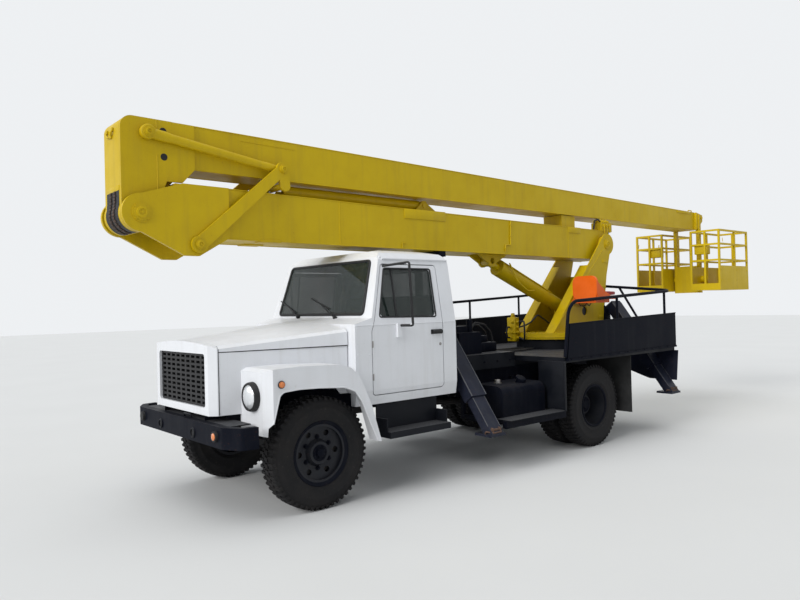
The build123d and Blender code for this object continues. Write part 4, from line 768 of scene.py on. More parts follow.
window_corners = ((-688, 1626), (-808, 2084), (-1402, 2084), (-1402, 1612))
for side, word in hands:
    body = "door_" + word + "_body"
    seal = bmesh.new()
    add_tube(seal, [on_cab_side(x, z, side, -1) for x, z in window_corners], 8, bend=50, closed=True)
    add_tube(seal, [on_cab_side(-905, 1624, side, -12), on_cab_side(-905, 2080, side, -12)], 9)
    mirror_arm = [(-802, side * 804, 2105), (-929, side * 1050, 2130), (-960, side * 1050, 1541),
                  (-904, side * 908, 1541)]
    add_tube(seal, mirror_arm, 12, bend=38)
    finish_piece("window_seal_" + word, seal, body, hose_rubber)
    crease = bmesh.new()
    add_tube(crease, [on_cab_side(x, crease_z, side) for x in (-592, -1472)], 5)
    finish_piece("door_crease_" + word, crease, body, cab_paint)
    handle = bmesh.new()
    handle_foot = side * (cab_half_width - 2)
    add_block(handle, (-1458, -1332), (handle_foot, side * (cab_half_width + 32)), (1447, 1478), 7, 3)
    add_block(handle, (-1470, -1318), (handle_foot, side * (cab_half_width + 5)), (1440, 1486), 4, 2)
    finish_piece("door_handle_" + word, handle, body, trim_plastic)
    lock = bmesh.new()
    add_turned(lock, on_cab_side(-1440, 1340, side), (0, side, 0),
               [(0, 7), (9, 7), (14, 4), (15, 0), (0, 0)], steps=20)
    for z in (1080, 1380):
        add_round(lock, (-592, side * (cab_half_width + 1), z - 30), (0, 0, 1), 7, 60, 12)
    finish_piece("door_lock_" + word, lock, body, worn_steel)


# Lamps, rolled wing edges, panel seams and bumper fittings

wing_front = 590
wing_outer_y = 1062
arch_line = ((538, 815), (476, 1034), (439, 1062), (290, 1072), (96, 1065), (-158, 1045), (-273, 1000),
             (-346, 897), (-439, 685), (-502, 552))
headlamp_y = 832
headlamp_z = 1022
headlamp_radius = 102
marker_x = 462
marker_z = 1122
bumper_front = 893
turn_lamp_y = 775
turn_lamp_z = 735
tow_hole_y = 347
tow_hole_z = 712
deck_rear = -5451
lamp_bezels = bmesh.new()
head_lenses = bmesh.new()
amber_lenses = bmesh.new()
red_lenses = bmesh.new()
for side, word in hands:
    add_turned(lamp_bezels, (wing_front, side * headlamp_y, headlamp_z), (1, 0, 0),
               [(headlamp_radius - 5, 40), (headlamp_radius, 48), (headlamp_radius + 9, 46),
                (headlamp_radius + 15, 34), (headlamp_radius + 18, 0), (headlamp_radius - 5, 0)],
               steps=64, closed=True)
    add_turned(head_lenses, (wing_front + 30, side * headlamp_y, headlamp_z), (1, 0, 0),
               [(0, 34), (35, 32), (68, 25), (92, 14), (headlamp_radius - 3, 6),
                (headlamp_radius - 3, 0), (0, 0)], steps=64)
    add_turned(lamp_bezels, (bumper_front, side * turn_lamp_y, turn_lamp_z), (1, 0, 0),
               [(31, 18), (34, 24), (42, 22), (45, 0), (31, 0)], steps=40, closed=True)
    # Only the left turn lamp still has its lens
    if word == "left":
        add_turned(amber_lenses, (bumper_front + 14, side * turn_lamp_y, turn_lamp_z), (1, 0, 0),
                   [(0, 20), (16, 18), (28, 12), (32, 0), (0, 0)], steps=36)
    add_turned(amber_lenses, (marker_x, side * (wing_outer_y + 6), marker_z), (0, side, 0),
               [(0, 20), (14, 19), (23, 14), (27, 4), (27, 0), (0, 0)], steps=32)
    add_turned(lamp_bezels, (marker_x, side * wing_outer_y, marker_z), (0, side, 0),
               [(26, 12), (31, 9), (32, 0), (26, 0)], steps=32, closed=True)
    add_block(lamp_bezels, (deck_rear - 20, deck_rear + 2), (side * 892, side * 1168), (1044, 1106), 5)
    add_block(amber_lenses, (deck_rear - 27, deck_rear - 18), (side * 1078, side * 1160), (1052, 1098), 4)
    add_block(red_lenses, (deck_rear - 27, deck_rear - 18), (side * 900, side * 1074), (1052, 1098), 4)
    rolled = bmesh.new()
    add_tube(rolled, [(x, side * (wing_outer_y - 5), z) for x, z in arch_line], 8, bend=30)
    finish_piece("wing_edge_" + word, rolled, "chassis", cab_paint)
finish_piece("lamp_bezels", lamp_bezels, "chassis", trim_plastic)
finish_piece("head_lenses", head_lenses, "chassis", head_lens)
finish_piece("amber_lenses", amber_lenses, "chassis", amber_lens)
finish_piece("red_lenses", red_lenses, "chassis", red_lens)

seam_shadows = bmesh.new()
nose_seam_x = 773
bonnet_seam_z = 1381
for side in (1, -1):
    add_tube(seam_shadows, [(nose_seam_x, side * 599, 868), (nose_seam_x, side * 599, 1404)], 3.5)
    add_tube(seam_shadows, [(766, side * 597, bonnet_seam_z), (-384, side * 797, bonnet_seam_z)], 5)
finish_piece("seam_shadows", seam_shadows, "chassis", hose_rubber)

bumper_fittings = bmesh.new()
for side in (1, -1):
    add_turned(bumper_fittings, (bumper_front, side * tow_hole_y, tow_hole_z), (1, 0, 0),
               [(30, 0), (30, 10), (36, 12), (42, 8), (43, 0)], steps=32, closed=True)
bumper_handle = [(840, 60, 817), (846, 60, 842), (858, 130, 846), (846, 200, 842), (840, 200, 817)]
add_tube(bumper_fittings, bumper_handle, 7, bend=14)
add_block(bumper_fittings, (632, 884), (-866, 866), (804, 814), 3)
finish_piece("bumper_fittings", bumper_fittings, "chassis", deck_plate)
# Dark discs in the tow holes: painted shade for the holes' dark insides
tow_hole_shade = bmesh.new()
for side in (1, -1):
    add_cover(tow_hole_shade, (bumper_front, side * tow_hole_y, tow_hole_z), (1, 0, 0), 30, 1.5, slope=0, steps=32)
finish_piece("tow_hole_shade", tow_hole_shade, "chassis", hose_rubber)


# Seats and cab controls: the bench with its pleats, the operator's pad, switches, gear lever, pedals

def draw_cushion(name, low, high, crown, pleats, body, finish, cuts=28):
    """A stuffed pad between two corners, rounded and crowned, parted by pleats from side to side."""
    mesh = bmesh.new()
    low = Vector(low)
    high = Vector(high)
    half = (high - low) / 2
    middle = (high + low) / 2
    bmesh.ops.create_cube(mesh, size=2)
    bmesh.ops.subdivide_edges(mesh, edges=mesh.edges[:], cuts=cuts, use_grid_fill=True)
    corner = min(half) * 0.75
    thin = min(range(3), key=lambda axis: half[axis])
    for vert in mesh.verts:
        spot = Vector(vert.co)
        flat = 1.0
        for axis in range(3):
            if axis != thin:
                flat *= 1 - spot[axis] ** 4
        place = Vector([spot[axis] * (half[axis] - (crown if axis == thin else 0)) for axis in range(3)])
        inner = Vector([max(-half[axis] + corner, min(half[axis] - corner, place[axis]))
                        for axis in range(3)])
        away = place - inner
        if away.length > corner:
            place = inner + away.normalized() * corner
        press = 0.0
        for index in range(1, pleats):
            groove = -half.y + 2 * half.y * index / pleats
            press = max(press, 1 - min(1, abs(place.y - groove) / 14))
        if abs(spot[thin]) > 0.9:
            place[thin] += (1 if spot[thin] > 0 else -1) * (crown * flat - 9 * press * flat)
        vert.co = place + middle
    pad = finish_piece(name, mesh, body, finish, crease=80)


bench_base = bmesh.new()
add_block(bench_base, (-1460, -1060), (-640, 640), (1036, 1182), 10)
add_block(bench_base, (-1606, -1592), (-700, 700), (1200, 1760), 5)
bench = finish_piece("bench_frame", bench_base, "chassis", trim_plastic)
draw_cushion("bench_cushion", (-1480, -720, 1182), (-1000, 720, 1330), crown=14, pleats=12, body="chassis",
             finish=bench_vinyl)
draw_cushion("bench_back", (-1590, -720, 1336), (-1440, 720, 1826), crown=14, pleats=12, body="chassis",
             finish=bench_vinyl)
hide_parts("cab_seats")
draw_cushion("operator_pad", (-4868, 390, 1795), (-4456, 720, 1852), crown=8, pleats=5, body="turntable",
             finish=seat_pad_vinyl, cuts=20)

cab_inside = bmesh.new()
for y in (250, 330, 410, 490):
    add_turned(cab_inside, (-605, y, 1462), (-1, 0, 0), [(30, 0), (30, 8), (26, 12), (0, 12)], steps=24)
add_block(cab_inside, (-640, -598), (180, 560), (1400, 1520), 12)
gear_knob = (-900, 20, 1420)
add_tube(cab_inside, [(-760, 20, 1036), (-800, 20, 1250), gear_knob], 9)
add_turned(cab_inside, gear_knob, (-0.4, 0, 0.9), [(0, 0), (18, 6), (24, 22), (18, 38), (0, 44)], steps=20)
for y in (250, 350, 470):
    add_block(cab_inside, (-640, -610), (y - 28, y + 28), (1090, 1150), 8)
    add_tube(cab_inside, [(-620, y, 1120), (-560, y, 1200), (-520, y, 1340)], 9)
finish_piece("cab_controls", cab_inside, "chassis", trim_plastic)


# Weld beads, plates and pins of the booms

def draw_pin_end(mesh, x, z, y, side, radius):
    """The end of a pin: a stepped washer with a grease point in its middle."""
    add_turned(mesh, (x, side * y, z), (0, side, 0),
               [(radius, 0), (radius, 5), (radius * 0.72, 6), (radius * 0.7, 14), (radius * 0.45, 16),
                (radius * 0.4, 10), (radius * 0.16, 10), (radius * 0.14, 16), (0, 17), (0, 0)], steps=40)


lower_beads = bmesh.new()
bead = 5
knee_cheek_y = 276
strut_cheek_y = 313
side_plate_x = (-2211, -1593)
rear_plate_x = (-4808, -4532)
for side in (1, -1):
    wall = side * lower_half_width
    for height in (lower_top, lower_bottom):
        add_tube(lower_beads, [(x, wall, height(x)) for x in (lower_rear, lower_front)], bead)
    for x in (-740, rear_plate_x[1]):
        add_tube(lower_beads, [(x, wall, lower_bottom(x) + 3), (x, wall, lower_top(x) - 3)], bead)
    plate_foot = side * (lower_half_width - 4)
    plate_face = side * (lower_half_width + 8)
    add_block(lower_beads, side_plate_x, (plate_foot, side * (lower_half_width + 9)), (2672, 2776), 4)
    add_block(lower_beads, side_plate_x, (side * 96, plate_face), (2764, 2779), 4)
    add_block(lower_beads, rear_plate_x, (plate_foot, plate_face), (2660, 2741), 4)
    add_block(lower_beads, (-60, 150), (side * 100, plate_face), (2343, 2366), 4)
    add_tube(lower_beads, [(lower_front, side * 232, 2362), (lower_front, side * 232, 2800)], bead)
    draw_pin_end(lower_beads, *knee_pivot, knee_cheek_y, side, 66)
    draw_pin_end(lower_beads, *strut_pin, strut_cheek_y, side, 44)
    knee_cheek = (knee_pivot[0], side * knee_cheek_y, knee_pivot[1])
    add_bolts(lower_beads, knee_cheek, (0, side, 0), 70, 4, 8, start=pi / 4)
wall_pipe = [(-3335, 239, 2748), (-3324, 239, 2447), (-3230, 239, 2444), (-3227, 239, 2362)]
add_tube(lower_beads, wall_pipe, 8, bend=26)
add_tube(lower_beads, [(-1600, 237, 2402), (-1552, 237, 2402), (-1550, 237, 2345)], 5, bend=10)
for x, z in ((-3333, 2700), (-3327, 2560), (-3228, 2400)):
    add_block(lower_beads, (x - 12, x + 12), (228, 250), (z - 9, z + 9), 3)
finish_piece("lower_boom_seams", lower_beads, "lower_boom_body", boom_paint)

upper_beads = bmesh.new()
for side in (1, -1):
    wall = side * upper_half_width
    head_wall = side * head_half_width
    for height in (upper_top, upper_bottom):
        add_tube(upper_beads, [(x, wall, height(x)) for x in (upper_rear, upper_front)], bead)
    add_tube(upper_beads, [(1089, head_wall, upper_top(1089) - 4), (1087, head_wall, 3262)], 4)
    add_tube(upper_beads, [(1087, head_wall, 3040), (1086, head_wall, 2712)], 4)
    add_tube(upper_beads, [(311, wall, 3262), (-260, wall, 3252)], 4)
    add_block(upper_beads, (-8060, -7610), (side * (upper_half_width - 4), side * (upper_half_width + 8)),
              (3152, 3188), 4)
    draw_pin_end(upper_beads, *rod_pin, 271, side, 40)
    add_bolt(upper_beads, (-8349, side * 228, 3103), (0, side, 0), 16)
top_handle = [(-8040, 150, 3196), (-8040, 150, 3222), (-8150, 150, 3222), (-8150, 150, 3194)]
add_tube(upper_beads, top_handle, 8, bend=16)
finish_piece("upper_boom_seams", upper_beads, "upper_boom_body", boom_paint)

head_plates = bmesh.new()
plate_rear = 758
plate_front = 970
plate_low = 2822
for side in (1, -1):
    outline = ((plate_rear, upper_bottom(plate_rear) - 4), (plate_rear, upper_top(plate_rear) - 1),
               (plate_front, upper_top(plate_front) - 1), (1010, plate_low), (868, plate_low))
    corners = [head_plates.verts.new((x, side * (upper_half_width - 2), z)) for x, z in outline]
    face = head_plates.faces.new(corners)
    grown = bmesh.ops.extrude_face_region(head_plates, geom=[face])["geom"]
    outer_face = [part for part in grown if isinstance(part, bmesh.types.BMVert)]
    thickness = head_half_width - upper_half_width + 1
    bmesh.ops.translate(head_plates, vec=(0, side * thickness, 0), verts=outer_face)
finish_piece("head_plates", head_plates, "upper_boom_body", boom_paint)

# Dark discs in the head plates' holes: painted shade for the holes' dark insides
head_hole_shade = bmesh.new()
for side in (1, -1):
    for x, z in ((1032, 3240), (1028, 3024)):
        add_cover(head_hole_shade, (x, side * head_half_width, z), (0, side, 0), 30, 1.5, slope=1, steps=36)
finish_piece("head_hole_shade", head_hole_shade, "upper_boom_body", hose_rubber)

strut_ends = bmesh.new()
for side in (1, -1):
    draw_pin_end(strut_ends, *link_joint, strut_cheek_y, side, 38)
finish_piece("strut_pin_ends", strut_ends, "knee_struts_body", boom_paint)

tie_inner_y = 208
tie_outer_y = 262
tie_middle_y = (tie_inner_y + tie_outer_y) / 2
tie_half = (tie_outer_y - tie_inner_y) / 2
tie_sides = 24
ties = bmesh.new()
tie_run = Vector((link_joint[0] - rod_pin[0], 0, link_joint[1] - rod_pin[1]))
tie_along = tie_run.normalized()
tie_up = Vector((-tie_along.z, 0, tie_along.x))
for side in (1, -1):
    rings = []
    for share, deep in ((0.035, 44), (0.12, 46), (0.16, 40), (0.84, 36), (0.88, 40), (0.965, 38)):
        middle = Vector((rod_pin[0], side * tie_middle_y, rod_pin[1])) + tie_run * share
        ring = []
        for index in range(tie_sides):
            angle = tau * index / tie_sides
            across = Vector((0, tie_half * cos(angle), 0))
            ring.append(ties.verts.new(middle + tie_up * deep * sin(angle) + across))
        rings.append(ring)
    for before, after in zip(rings, rings[1:]):
        for index in range(tie_sides):
            following = (index + 1) % tie_sides
            ties.faces.new((before[index], before[following], after[following], after[index]))
    ties.faces.new(rings[0])
    ties.faces.new(rings[-1])
    for (x, z), radius in ((rod_pin, 62), (link_joint, 56)):
        add_turned(ties, (x, side * tie_inner_y, z), (0, side, 0),
                   [(30, 0), (30, 54), (radius - 5, 54), (radius, 49), (radius, 5), (radius - 5, 0)],
                   steps=48, closed=True)
tie_bars = finish_piece("tie_bars", ties, "knee_ties_body", boom_paint, crease=50)
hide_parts("knee_ties")


head_front_x = 1386.5
knuckle_radius = 150


def head_front_path(outside, last_angle):
    """The head's front from its opening down and round the knuckle, as points this far outside it."""
    around = knuckle_radius + outside
    path = [(knee_pivot[0] + around * cos(radians(angle)), knee_pivot[1] + around * sin(radians(angle)))
            for angle in range(18, last_angle, -6)]
    return [(head_front_x + outside, 2724), (head_front_x + outside, 2640)] + path


head_shadow = bmesh.new()
shadow_half = 150
shadow_path = head_front_path(0.8, -96)
left_edge = [head_shadow.verts.new((x, shadow_half, z)) for x, z in shadow_path]
right_edge = [head_shadow.verts.new((x, -shadow_half, z)) for x, z in shadow_path]
for index in range(len(shadow_path) - 1):
    head_shadow.faces.new((left_edge[index], left_edge[index + 1], right_edge[index + 1], right_edge[index]))
finish_piece("head_shadow", head_shadow, "upper_boom_body", trim_plastic)

chains = bmesh.new()
chain_path = [Vector((x, 0, z)) for x, z in head_front_path(4, -90)]
link_pitch = 26
for middle_y in (-46, 46):
    travelled = link_pitch / 2
    passed = 0.0
    count = 0
    for before, after in zip(chain_path, chain_path[1:]):
        run = (after - before).length
        heading = (after - before).normalized()
        outward = Vector((-heading.z, 0, heading.x))
        turn = Matrix((outward, Vector((0, 1, 0)), heading)).transposed().to_4x4()
        while travelled < passed + run:
            spot = before.lerp(after, (travelled - passed) / run) + Vector((0, middle_y, 0))
            link_half = 27 if count % 2 else 19
            link = bmesh.ops.create_cube(chains, size=1)["verts"]
            bmesh.ops.scale(chains, vec=(9, 2 * link_half, link_pitch * 0.86), verts=link)
            bmesh.ops.transform(chains, matrix=Matrix.Translation(spot) @ turn, verts=link)
            travelled += link_pitch
            count += 1
        passed += run
bmesh.ops.bevel(chains, geom=chains.edges[:], offset=3, segments=2, profile=0.5, affect="EDGES",
                material=-1)
finish_piece("head_chains", chains, "upper_boom_body", rusty_steel)

head_front_parts = bmesh.new()
add_block(head_front_parts, (1383, 1388), (-154, 154), (2722, 2764), 1)
long_handle = [(1390, -106, 3242), (1400, -108, 3212), (1402, -62, 3184), (1392, -4, 3186)]
add_tube(head_front_parts, long_handle, 8, bend=20)
add_tube(head_front_parts, [(1390, 30, 3240), (1402, 34, 3218), (1396, -2, 3190)], 8, bend=16)
for y, z in ((-106, 3238), (-6, 3184), (30, 3238)):
    add_block(head_front_parts, (1382, 1400), (y - 18, y + 18), (z - 14, z + 14), 4)
finish_piece("head_front_parts", head_front_parts, "upper_boom_body", boom_paint)


# Valve cluster over the lower boom's rear end

valve_bank = bmesh.new()
valve_top = 2850
for index, x in enumerate((-5372, -5436, -5500)):
    add_block(valve_bank, (x - 26, x + 26), (88, 206), (valve_top - 4, valve_top + 34), 6)
    add_turned(valve_bank, (x, 186, valve_top + 30), (0, 0, 1),
               [(0, 26), (9, 26), (11, 14), (17, 12), (18, 0), (0, 0)], steps=20)
    add_nipple(valve_bank, (x, 206, valve_top + 12), (0, 1, 0), neck=12, flange=21, height=30, collar=12)
    add_tube(valve_bank, [(x, 228, 2800 - index * 12), (x, 252, 2790), (x - 6, 250, 2700)], 7, bend=16)
for x in (-5380, -5450, -5520):
    add_cover(valve_bank, (x, 228, 2810), (0, 1, 0), 16, 22, slope=1, steps=6)
bank_pipe = [(-5340, 150, valve_top + 14), (-5260, 160, valve_top + 30), (-5190, 168, 2790),
             (-5180, 170, 2735)]
add_tube(valve_bank, bank_pipe, 8, bend=22)
finish_piece("valve_bank", valve_bank, "lower_boom_body", boom_paint)
valve_hoses = bmesh.new()
front_hose = [(-5345, 196, valve_top + 16), (-5270, 206, valve_top + 44), (-5190, 206, valve_top + 6),
              (-5170, 206, lower_top(-5170) + 4)]
rear_hose = [(-5585, 130, 2820), (-5640, 130, 2826), (-5668, 128, 2760), (-5640, 126, 2690),
             (-5480, 124, 2660)]
add_tube(valve_hoses, front_hose, 11, bend=30)
add_tube(valve_hoses, rear_hose, 11, bend=34)
finish_piece("valve_pipes", valve_hoses, "lower_boom_body", hose_rubber)


# Mast and turning ring: bolts, edge beads, manifold and its pipes, control box, seat springs, lift pipe

mast_fittings = bmesh.new()
slew_x = -4480
ring_radius = 570
ring_top = 1320
add_bolts(mast_fittings, (slew_x, 0, ring_top), (0, 0, 1), ring_radius - 26, 28, 11)
add_turned(mast_fittings, (slew_x, 0, 1258), (0, 0, 1),
           [(ring_radius - 4, 0), (ring_radius + 7, 3), (ring_radius + 7, 14), (ring_radius - 4, 17)],
           steps=96, closed=True)
lift_base_hole = (-4747, 1590)
add_cover(mast_fittings, (lift_base_hole[0], -312, lift_base_hole[1]), (0, 1, 0), 68, 6)
for side in (1, -1):
    draw_pin_end(mast_fittings, *mast_pivot, 319, side, 62)
    add_tube(mast_fittings, [(-4048, side * 311, ring_top + 4), (-5206, side * 311, 2440)], 5)
    add_tube(mast_fittings, [(-5165, side * 300, ring_top + 4), (-5300, side * 300, 2089)], 5)
    add_tube(mast_fittings, [(-4070, side * 313, ring_top + 5), (-5150, side * 313, ring_top + 5)], 7)
    add_block(mast_fittings, (-4340, -4170), (side * 150, side * 172), (ring_top, ring_top + 16), 4)
    for z in (1480, 1900, 2260):
        strap_rear = -5330 + (2260 - z) * 0.18
        add_block(mast_fittings, (strap_rear, strap_rear + 130), (side * 311, side * 317), (z, z + 46), 3)
finish_piece("mast_fittings", mast_fittings, "turntable", boom_paint)

# A dark disc inside the mast behind its left hole: painted shade for the dark inside seen through the hole
mast_hole_shade_mesh = bmesh.new()
add_cover(mast_hole_shade_mesh, (lift_base_hole[0], 294, lift_base_hole[1]), (0, -1, 0), 72, 5)
finish_piece("mast_hole_shade", mast_hole_shade_mesh, "turntable", trim_plastic)

manifold = bmesh.new()
add_block(manifold, (-4090, -3850), (-345, -160), (ring_top, ring_top + 14), 4)
add_block(manifold, (-3950, -3862), (-320, -180), (ring_top - 110, ring_top + 210), 10)
for index, z in enumerate((ring_top - 60, ring_top + 10, ring_top + 80, ring_top + 150)):
    add_nipple(manifold, (-3906, -180, z), (0, 1, 0), neck=14, flange=24, height=34, collar=14, steps=24)
    add_nipple(manifold, (-3862, -250 + 30 * (index % 2), z), (1, 0, 0), neck=13, flange=23, height=30,
               collar=12, steps=24)
add_turned(manifold, (-3906, -250, ring_top + 208), (0, 0, 1),
           [(0, 60), (20, 58), (26, 48), (26, 12), (34, 10), (34, 0), (0, 0)], steps=28)
finish_piece("turret_manifold", manifold, "turntable", boom_paint)
side_hose = [(-3906, -150, 1470), (-3900, -60, 1480), (-3850, -10, 1440), (-3846, -6, 1300),
             (-3880, -40, 1230), (-3906, -150, 1262)]
lift_hose = [(-3906, -150, 1400), (-3940, -70, 1420), (-4010, -30, 1460), (-4150, -20, 1560),
             (-4420, -20, 1420), (-4560, -20, 1336)]
front_loop = [(-3836, -250, 1400), (-3790, -250, 1404), (-3768, -250, 1330), (-3790, -250, 1262),
              (-3836, -250, 1260)]
manifold_pipes = bmesh.new()
add_tube(manifold_pipes, side_hose, 12, bend=44)
add_tube(manifold_pipes, lift_hose, 11, bend=60)
add_tube(manifold_pipes, front_loop, 11, bend=30)
finish_piece("turret_pipes", manifold_pipes, "turntable", hose_rubber)

control_box = bmesh.new()
add_block(control_box, (-5350, -5206), (150, 330), (1450, 1660), 12)
for vert in control_box.verts:
    if vert.co.z > 1555 and vert.co.x < -5270:
        vert.co.z -= 90
add_block(control_box, (-5212, -5172), (190, 290), (1480, 1600), 4)
for y in (190, 240, 290):
    add_tube(control_box, [(-5250, y, 1652), (-5262, y, 1722)], 6)
    add_turned(control_box, (-5262, y, 1716), (-0.17, 0, 1),
               [(0, 0), (10, 4), (14, 14), (10, 24), (0, 28)], steps=16)
finish_piece("control_box", control_box, "turntable", deck_paint)
seat_springs = bmesh.new()
long_spring = [(-4560, 350, 1702), (-4600, 352, 1664), (-4680, 354, 1658), (-4740, 352, 1690),
               (-4770, 350, 1702)]
add_tube(seat_springs, long_spring, 7, bend=22)
add_tube(seat_springs, [(-4720, 350, 1702), (-4800, 352, 1660), (-4850, 350, 1706)], 7, bend=24)
finish_piece("seat_springs", seat_springs, "turntable", hose_rubber)

lift_pipes = bmesh.new()
barrel_hose = [(-3480, 92, 2210), (-3420, 132, 2230), (-3560, 150, 1990), (-3740, 150, 1880),
               (-3900, 132, 1880)]
add_tube(lift_pipes, barrel_hose, 9, bend=50)
add_tube(lift_pipes, [(-4300, 100, 1850), (-3480, 100, 2190)], 8)
finish_piece("lift_pipe", lift_pipes, "lift_barrel_body", boom_paint)


# Deck fittings: panel and rail bolts, oil and fuel caps, pump and its pipes, wheel boards

deck_fittings = bmesh.new()
panel_outer_y = 1240
panel_front = -3040
for side in (1, -1):
    for index in range(13):
        x = panel_front - 80 - index * 190
        bolt_z = 1082 + 0.0116 * (panel_front - x)
        add_bolt(deck_fittings, (x, side * (panel_outer_y + 10), bolt_z), (0, side, 0), 8)
    panel_edge = side * (panel_outer_y + 2)
    add_tube(deck_fittings, [(-3100, panel_edge, 1476), (-5448, panel_edge, 1542)], 6)
    for index in range(6):
        add_bolt(deck_fittings, (-1850 - index * 220, side * 500, 1060), (0, side, 0), 10)
add_round(deck_fittings, (-2420, -180, 1492), (0, 0, 1), 46, 110, 28)
add_turned(deck_fittings, (-2420, -180, 1600), (0, 0, 1),
           [(0, 26), (30, 24), (48, 14), (50, 0), (0, 0)], steps=28)
add_round(deck_fittings, (-2540, 250, 1398), (0, 0, 1), 36, 150, 24)
add_block(deck_fittings, (-3010, -2720), (-250, 250), (1150, 1262), 14)
add_block(deck_fittings, (-2960, -2770), (-150, 150), (1262, 1340), 10)
pump_ports = (-110, -40, 40, 110)
for y in pump_ports:
    add_nipple(deck_fittings, (-2770, y, 1300), (1, 0, 0), neck=12, flange=21, height=34, collar=14)
add_turned(deck_fittings, (-2700, 862, 878), (0, 0.5, 0.87),
           [(0, 26), (44, 25), (58, 18), (60, 0), (0, 0)], steps=36)
finish_piece("deck_fittings", deck_fittings, "chassis", deck_paint)

deck_pipes = bmesh.new()
for index, y in enumerate(pump_ports):
    pump_hose = [(-2738, y, 1300), (-2690, y, 1304), (-2660, y * 1.2, 1230 - 10 * index),
                 (-2600, y * 1.2, 1225)]
    add_tube(deck_pipes, pump_hose, 11, bend=30)
for index, y in enumerate((-200, -140, 60, 150)):
    mast_hose = [(-2640, y, 1340 + 20 * index), (-2740, y, 1440 + 20 * index), (-2900, y, 1440 + 12 * index),
                 (-3010, y, 1380), (-3050, y, 1250), (-3120, y, 1126), (-3560, y + 30, 1122),
                 (-3900, y * 0.6, 1124)]
    add_tube(deck_pipes, mast_hose, 12, bend=60)
finish_piece("deck_pipes", deck_pipes, "chassis", hose_rubber)

boards = bmesh.new()
board_x = -3029
board_span_z = (524, 1062)
for side in (1, -1):
    add_block(boards, (board_x, board_x + 8), (side * 860, side * 1240), board_span_z, 2)
    add_block(boards, (board_x, board_x + 40), (side * 1228, side * 1240), board_span_z, 2)
    add_block(boards, (board_x + 8, -2086), (side * 1040, side * 1238), (521, 528), 2)
    step_stay = [(-2300, side * 1130, 523), (-2300, side * 1130, 470), (-2300, side * 700, 470)]
    add_tube(boards, step_stay, 12, bend=20)
finish_piece("wheel_boards", boards, "chassis", deck_plate)

cap = bmesh.new()
add_turned(cap, (-2500, 700, 838), (0, 0, 1),
           [(0, 40), (26, 40), (34, 34), (36, 4), (46, 2), (46, 0), (0, 0)], steps=32)
finish_piece("oil_cap", cap, "chassis", worn_steel)


# Outriggers: edge beads of the sleeves and legs in a lighter paint, a painted highlight along their edges,
# and the lifting loops over the feet

leg_lean = radians(54)
leg_foot_y = 1185

# Each pair of legs: its word, its place along the truck, the height of its feet and of its sleeves' tops
leg_places = (("front", -1878, 430, 1400), ("rear", -5400, 500, 1680))


def add_leg_edges(mesh, x, foot_z, side, half_width, over, low, high, radius):
    """A bead along both edges of a slanted upper face, between two distances up from the foot."""
    foot = Vector((x, side * leg_foot_y, foot_z))
    rise = Vector((0, -side * cos(leg_lean), sin(leg_lean)))
    away = Vector((0, side * sin(leg_lean), cos(leg_lean)))
    for across in (-half_width, half_width):
        sideways = Vector((across, 0, 0))
        route = [foot + rise * along + away * over + sideways for along in (low, high)]
        add_tube(mesh, route, radius)


# Sleeve edge beads in the lighter edge paint: a painted highlight along the sleeves' upper edges
sleeve_edge_highlights = bmesh.new()
for word, x, foot_z, sleeve_top in leg_places:
    for side in (1, -1):
        sleeve_length = (sleeve_top - foot_z) / sin(leg_lean)
        add_leg_edges(sleeve_edge_highlights, x, foot_z, side, 103, over=66, low=402, high=sleeve_length - 30, radius=6)
finish_piece("sleeve_edge_highlights", sleeve_edge_highlights, "chassis", edge_highlight_paint)

for word, x, foot_z, sleeve_top in leg_places:
    for side, hand in hands:
        body = "leg_" + word + "_" + hand + "_body"
        loop = bmesh.new()
        low_y = side * 1160
        middle_y = side * 1180
        high_y = side * 1238
        loop_route = [(x - 96, low_y, foot_z - 2), (x - 108, middle_y, foot_z + 26),
                      (x - 60, high_y, foot_z + 12), (x + 60, high_y, foot_z + 12),
                      (x + 108, middle_y, foot_z + 26), (x + 96, low_y, foot_z - 2)]
        add_tube(loop, loop_route, 8, bend=26)
        for lug_x in (x - 60, x + 44):
            add_block(loop, (lug_x, lug_x + 16), (side * 1120, side * 1236), (foot_z - 4, foot_z + 60), 4)
        add_round(loop, (x - 74, side * 1212, foot_z + 34), (1, 0, 0), 15, 148, 20)
        finish_piece("foot_loop_" + word + "_" + hand, loop, body, rusty_steel)
        # Leg edge beads in the lighter edge paint: a painted highlight along the legs' upper edges
        edges = bmesh.new()
        add_leg_edges(edges, x, foot_z, side, 84, over=47, low=60, high=390, radius=4)
        finish_piece("leg_edge_highlights_" + word + "_" + hand, edges, body, edge_highlight_paint)


# Cages: a small control box with its levers in each, latches and bolts

cage_fittings = bmesh.new()
cage_front = -7875
cage_rear = -8918
for side in (1, -1):
    add_block(cage_fittings, (cage_front - 150, cage_front - 34), (side * 300, side * 520), (2450, 2600), 12)
    for y in (side * 360, side * 450):
        add_tube(cage_fittings, [(cage_front - 92, y, 2598), (cage_front - 100, y, 2670)], 7)
    for x in (cage_front - 100, cage_rear + 100):
        latch = [(x, side * 742, 2700), (x, side * 747, 2668), (x, side * 747, 2640)]
        add_tube(cage_fittings, latch, 5, bend=12)
    for z in (2010, 2180):
        for x in (-8860, -8470, -7910):
            add_bolt(cage_fittings, (x, side * 740, z), (0, side, 0), 7)
finish_piece("cage_fittings", cage_fittings, "cages_body", boom_paint)


# Studio: floor, sky, suns and the camera

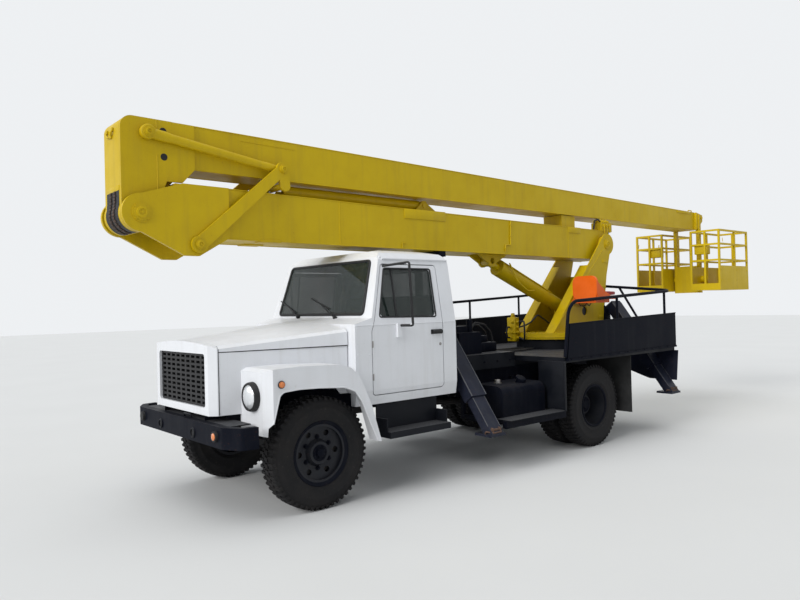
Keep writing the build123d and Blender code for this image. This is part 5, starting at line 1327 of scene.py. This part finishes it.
def make_floor():
    """A plain pale floor."""
    finish, tree, shader = open_finish("floor_finish", Roughness=0.9)
    place = add_node(tree, "ShaderNodeTexCoord")
    mottle = add_node(tree, "ShaderNodeTexNoise", {"Scale": 0.6, "Detail": 3.0})
    tree.links.new(place.outputs["Object"], mottle.inputs["Vector"])
    tone = tinted(tree, (0.62, 0.62, 0.61), (0.66, 0.66, 0.65), mottle.outputs["Fac"], 1.0)
    tree.links.new(tone, shader.inputs["Base Color"])
    mesh = bmesh.new()
    bmesh.ops.create_grid(mesh, x_segments=1, y_segments=1, size=60)
    data = bpy.data.meshes.new("studio_floor")
    mesh.to_mesh(data)
    mesh.free()
    data.materials.append(finish)
    floor = bpy.data.objects.new("studio_floor", data)
    floor.location = (0, 0, -0.001)
    bpy.context.scene.collection.objects.link(floor)


def make_sky():
    """Soft pale light, and a paler backdrop for the camera and for reflections."""
    world = bpy.data.worlds.new("studio")
    bpy.context.scene.world = world
    world.use_nodes = True
    tree = world.node_tree
    light = tree.nodes["Background"]
    light.inputs["Color"].default_value = (0.9, 0.95, 1.0, 1)
    light.inputs["Strength"].default_value = 0.56
    backdrop = add_node(tree, "ShaderNodeBackground", {"Color": (0.9, 0.92, 0.94, 1), "Strength": 0.95})
    path = add_node(tree, "ShaderNodeLightPath")
    seen = add_node(tree, "ShaderNodeMath", operation="MAXIMUM")
    shown = add_node(tree, "ShaderNodeMath", operation="MAXIMUM")
    tree.links.new(path.outputs["Is Camera Ray"], seen.inputs[0])
    tree.links.new(path.outputs["Is Glossy Ray"], seen.inputs[1])
    tree.links.new(seen.outputs["Value"], shown.inputs[0])
    tree.links.new(path.outputs["Is Transmission Ray"], shown.inputs[1])
    mix = add_node(tree, "ShaderNodeMixShader")
    tree.links.new(shown.outputs["Value"], mix.inputs["Fac"])
    tree.links.new(light.outputs["Background"], mix.inputs[1])
    tree.links.new(backdrop.outputs["Background"], mix.inputs[2])
    tree.links.new(mix.outputs["Shader"], tree.nodes["World Output"].inputs["Surface"])


def add_sun(name, place, strength, spread):
    """A broad sun that shines from a place towards the truck's middle."""
    data = bpy.data.lights.new(name, "SUN")
    data.energy = strength
    data.angle = spread
    sun = bpy.data.objects.new(name, data)
    sun.location = place
    sun.rotation_euler = (Vector((0, 0, 1)) - Vector(place)).to_track_quat("-Z", "Y").to_euler()
    bpy.context.scene.collection.objects.link(sun)


# The fitted view: the lens in millimetres, metres ahead of the front axle, to its left and above
# the ground, and the camera's turns in radians

view_lens = 30.964
view_ahead = 3.27505
view_left = 5.8547
view_height = 1.7269
view_turns = (1.5790236, 0.0252090, 2.4374304)


def make_camera():
    """The photograph's view, as fitted to the truck's wheels and cab."""
    data = bpy.data.cameras.new("photo_view")
    data.lens = view_lens
    data.sensor_width = 36
    camera = bpy.data.objects.new("photo_view", data)
    camera.location = (axle_x + view_ahead, view_left, view_height)
    camera.rotation_euler = view_turns
    bpy.context.scene.collection.objects.link(camera)
    bpy.context.scene.camera = camera


make_floor()
make_sky()
add_sun("front_sun", (16, 1.4, 9), 2.2, radians(32))
add_sun("top_sun", (1.5, 1.0, 16), 1.0, radians(60))
make_camera()
bpy.context.scene.view_settings.view_transform = "Standard"
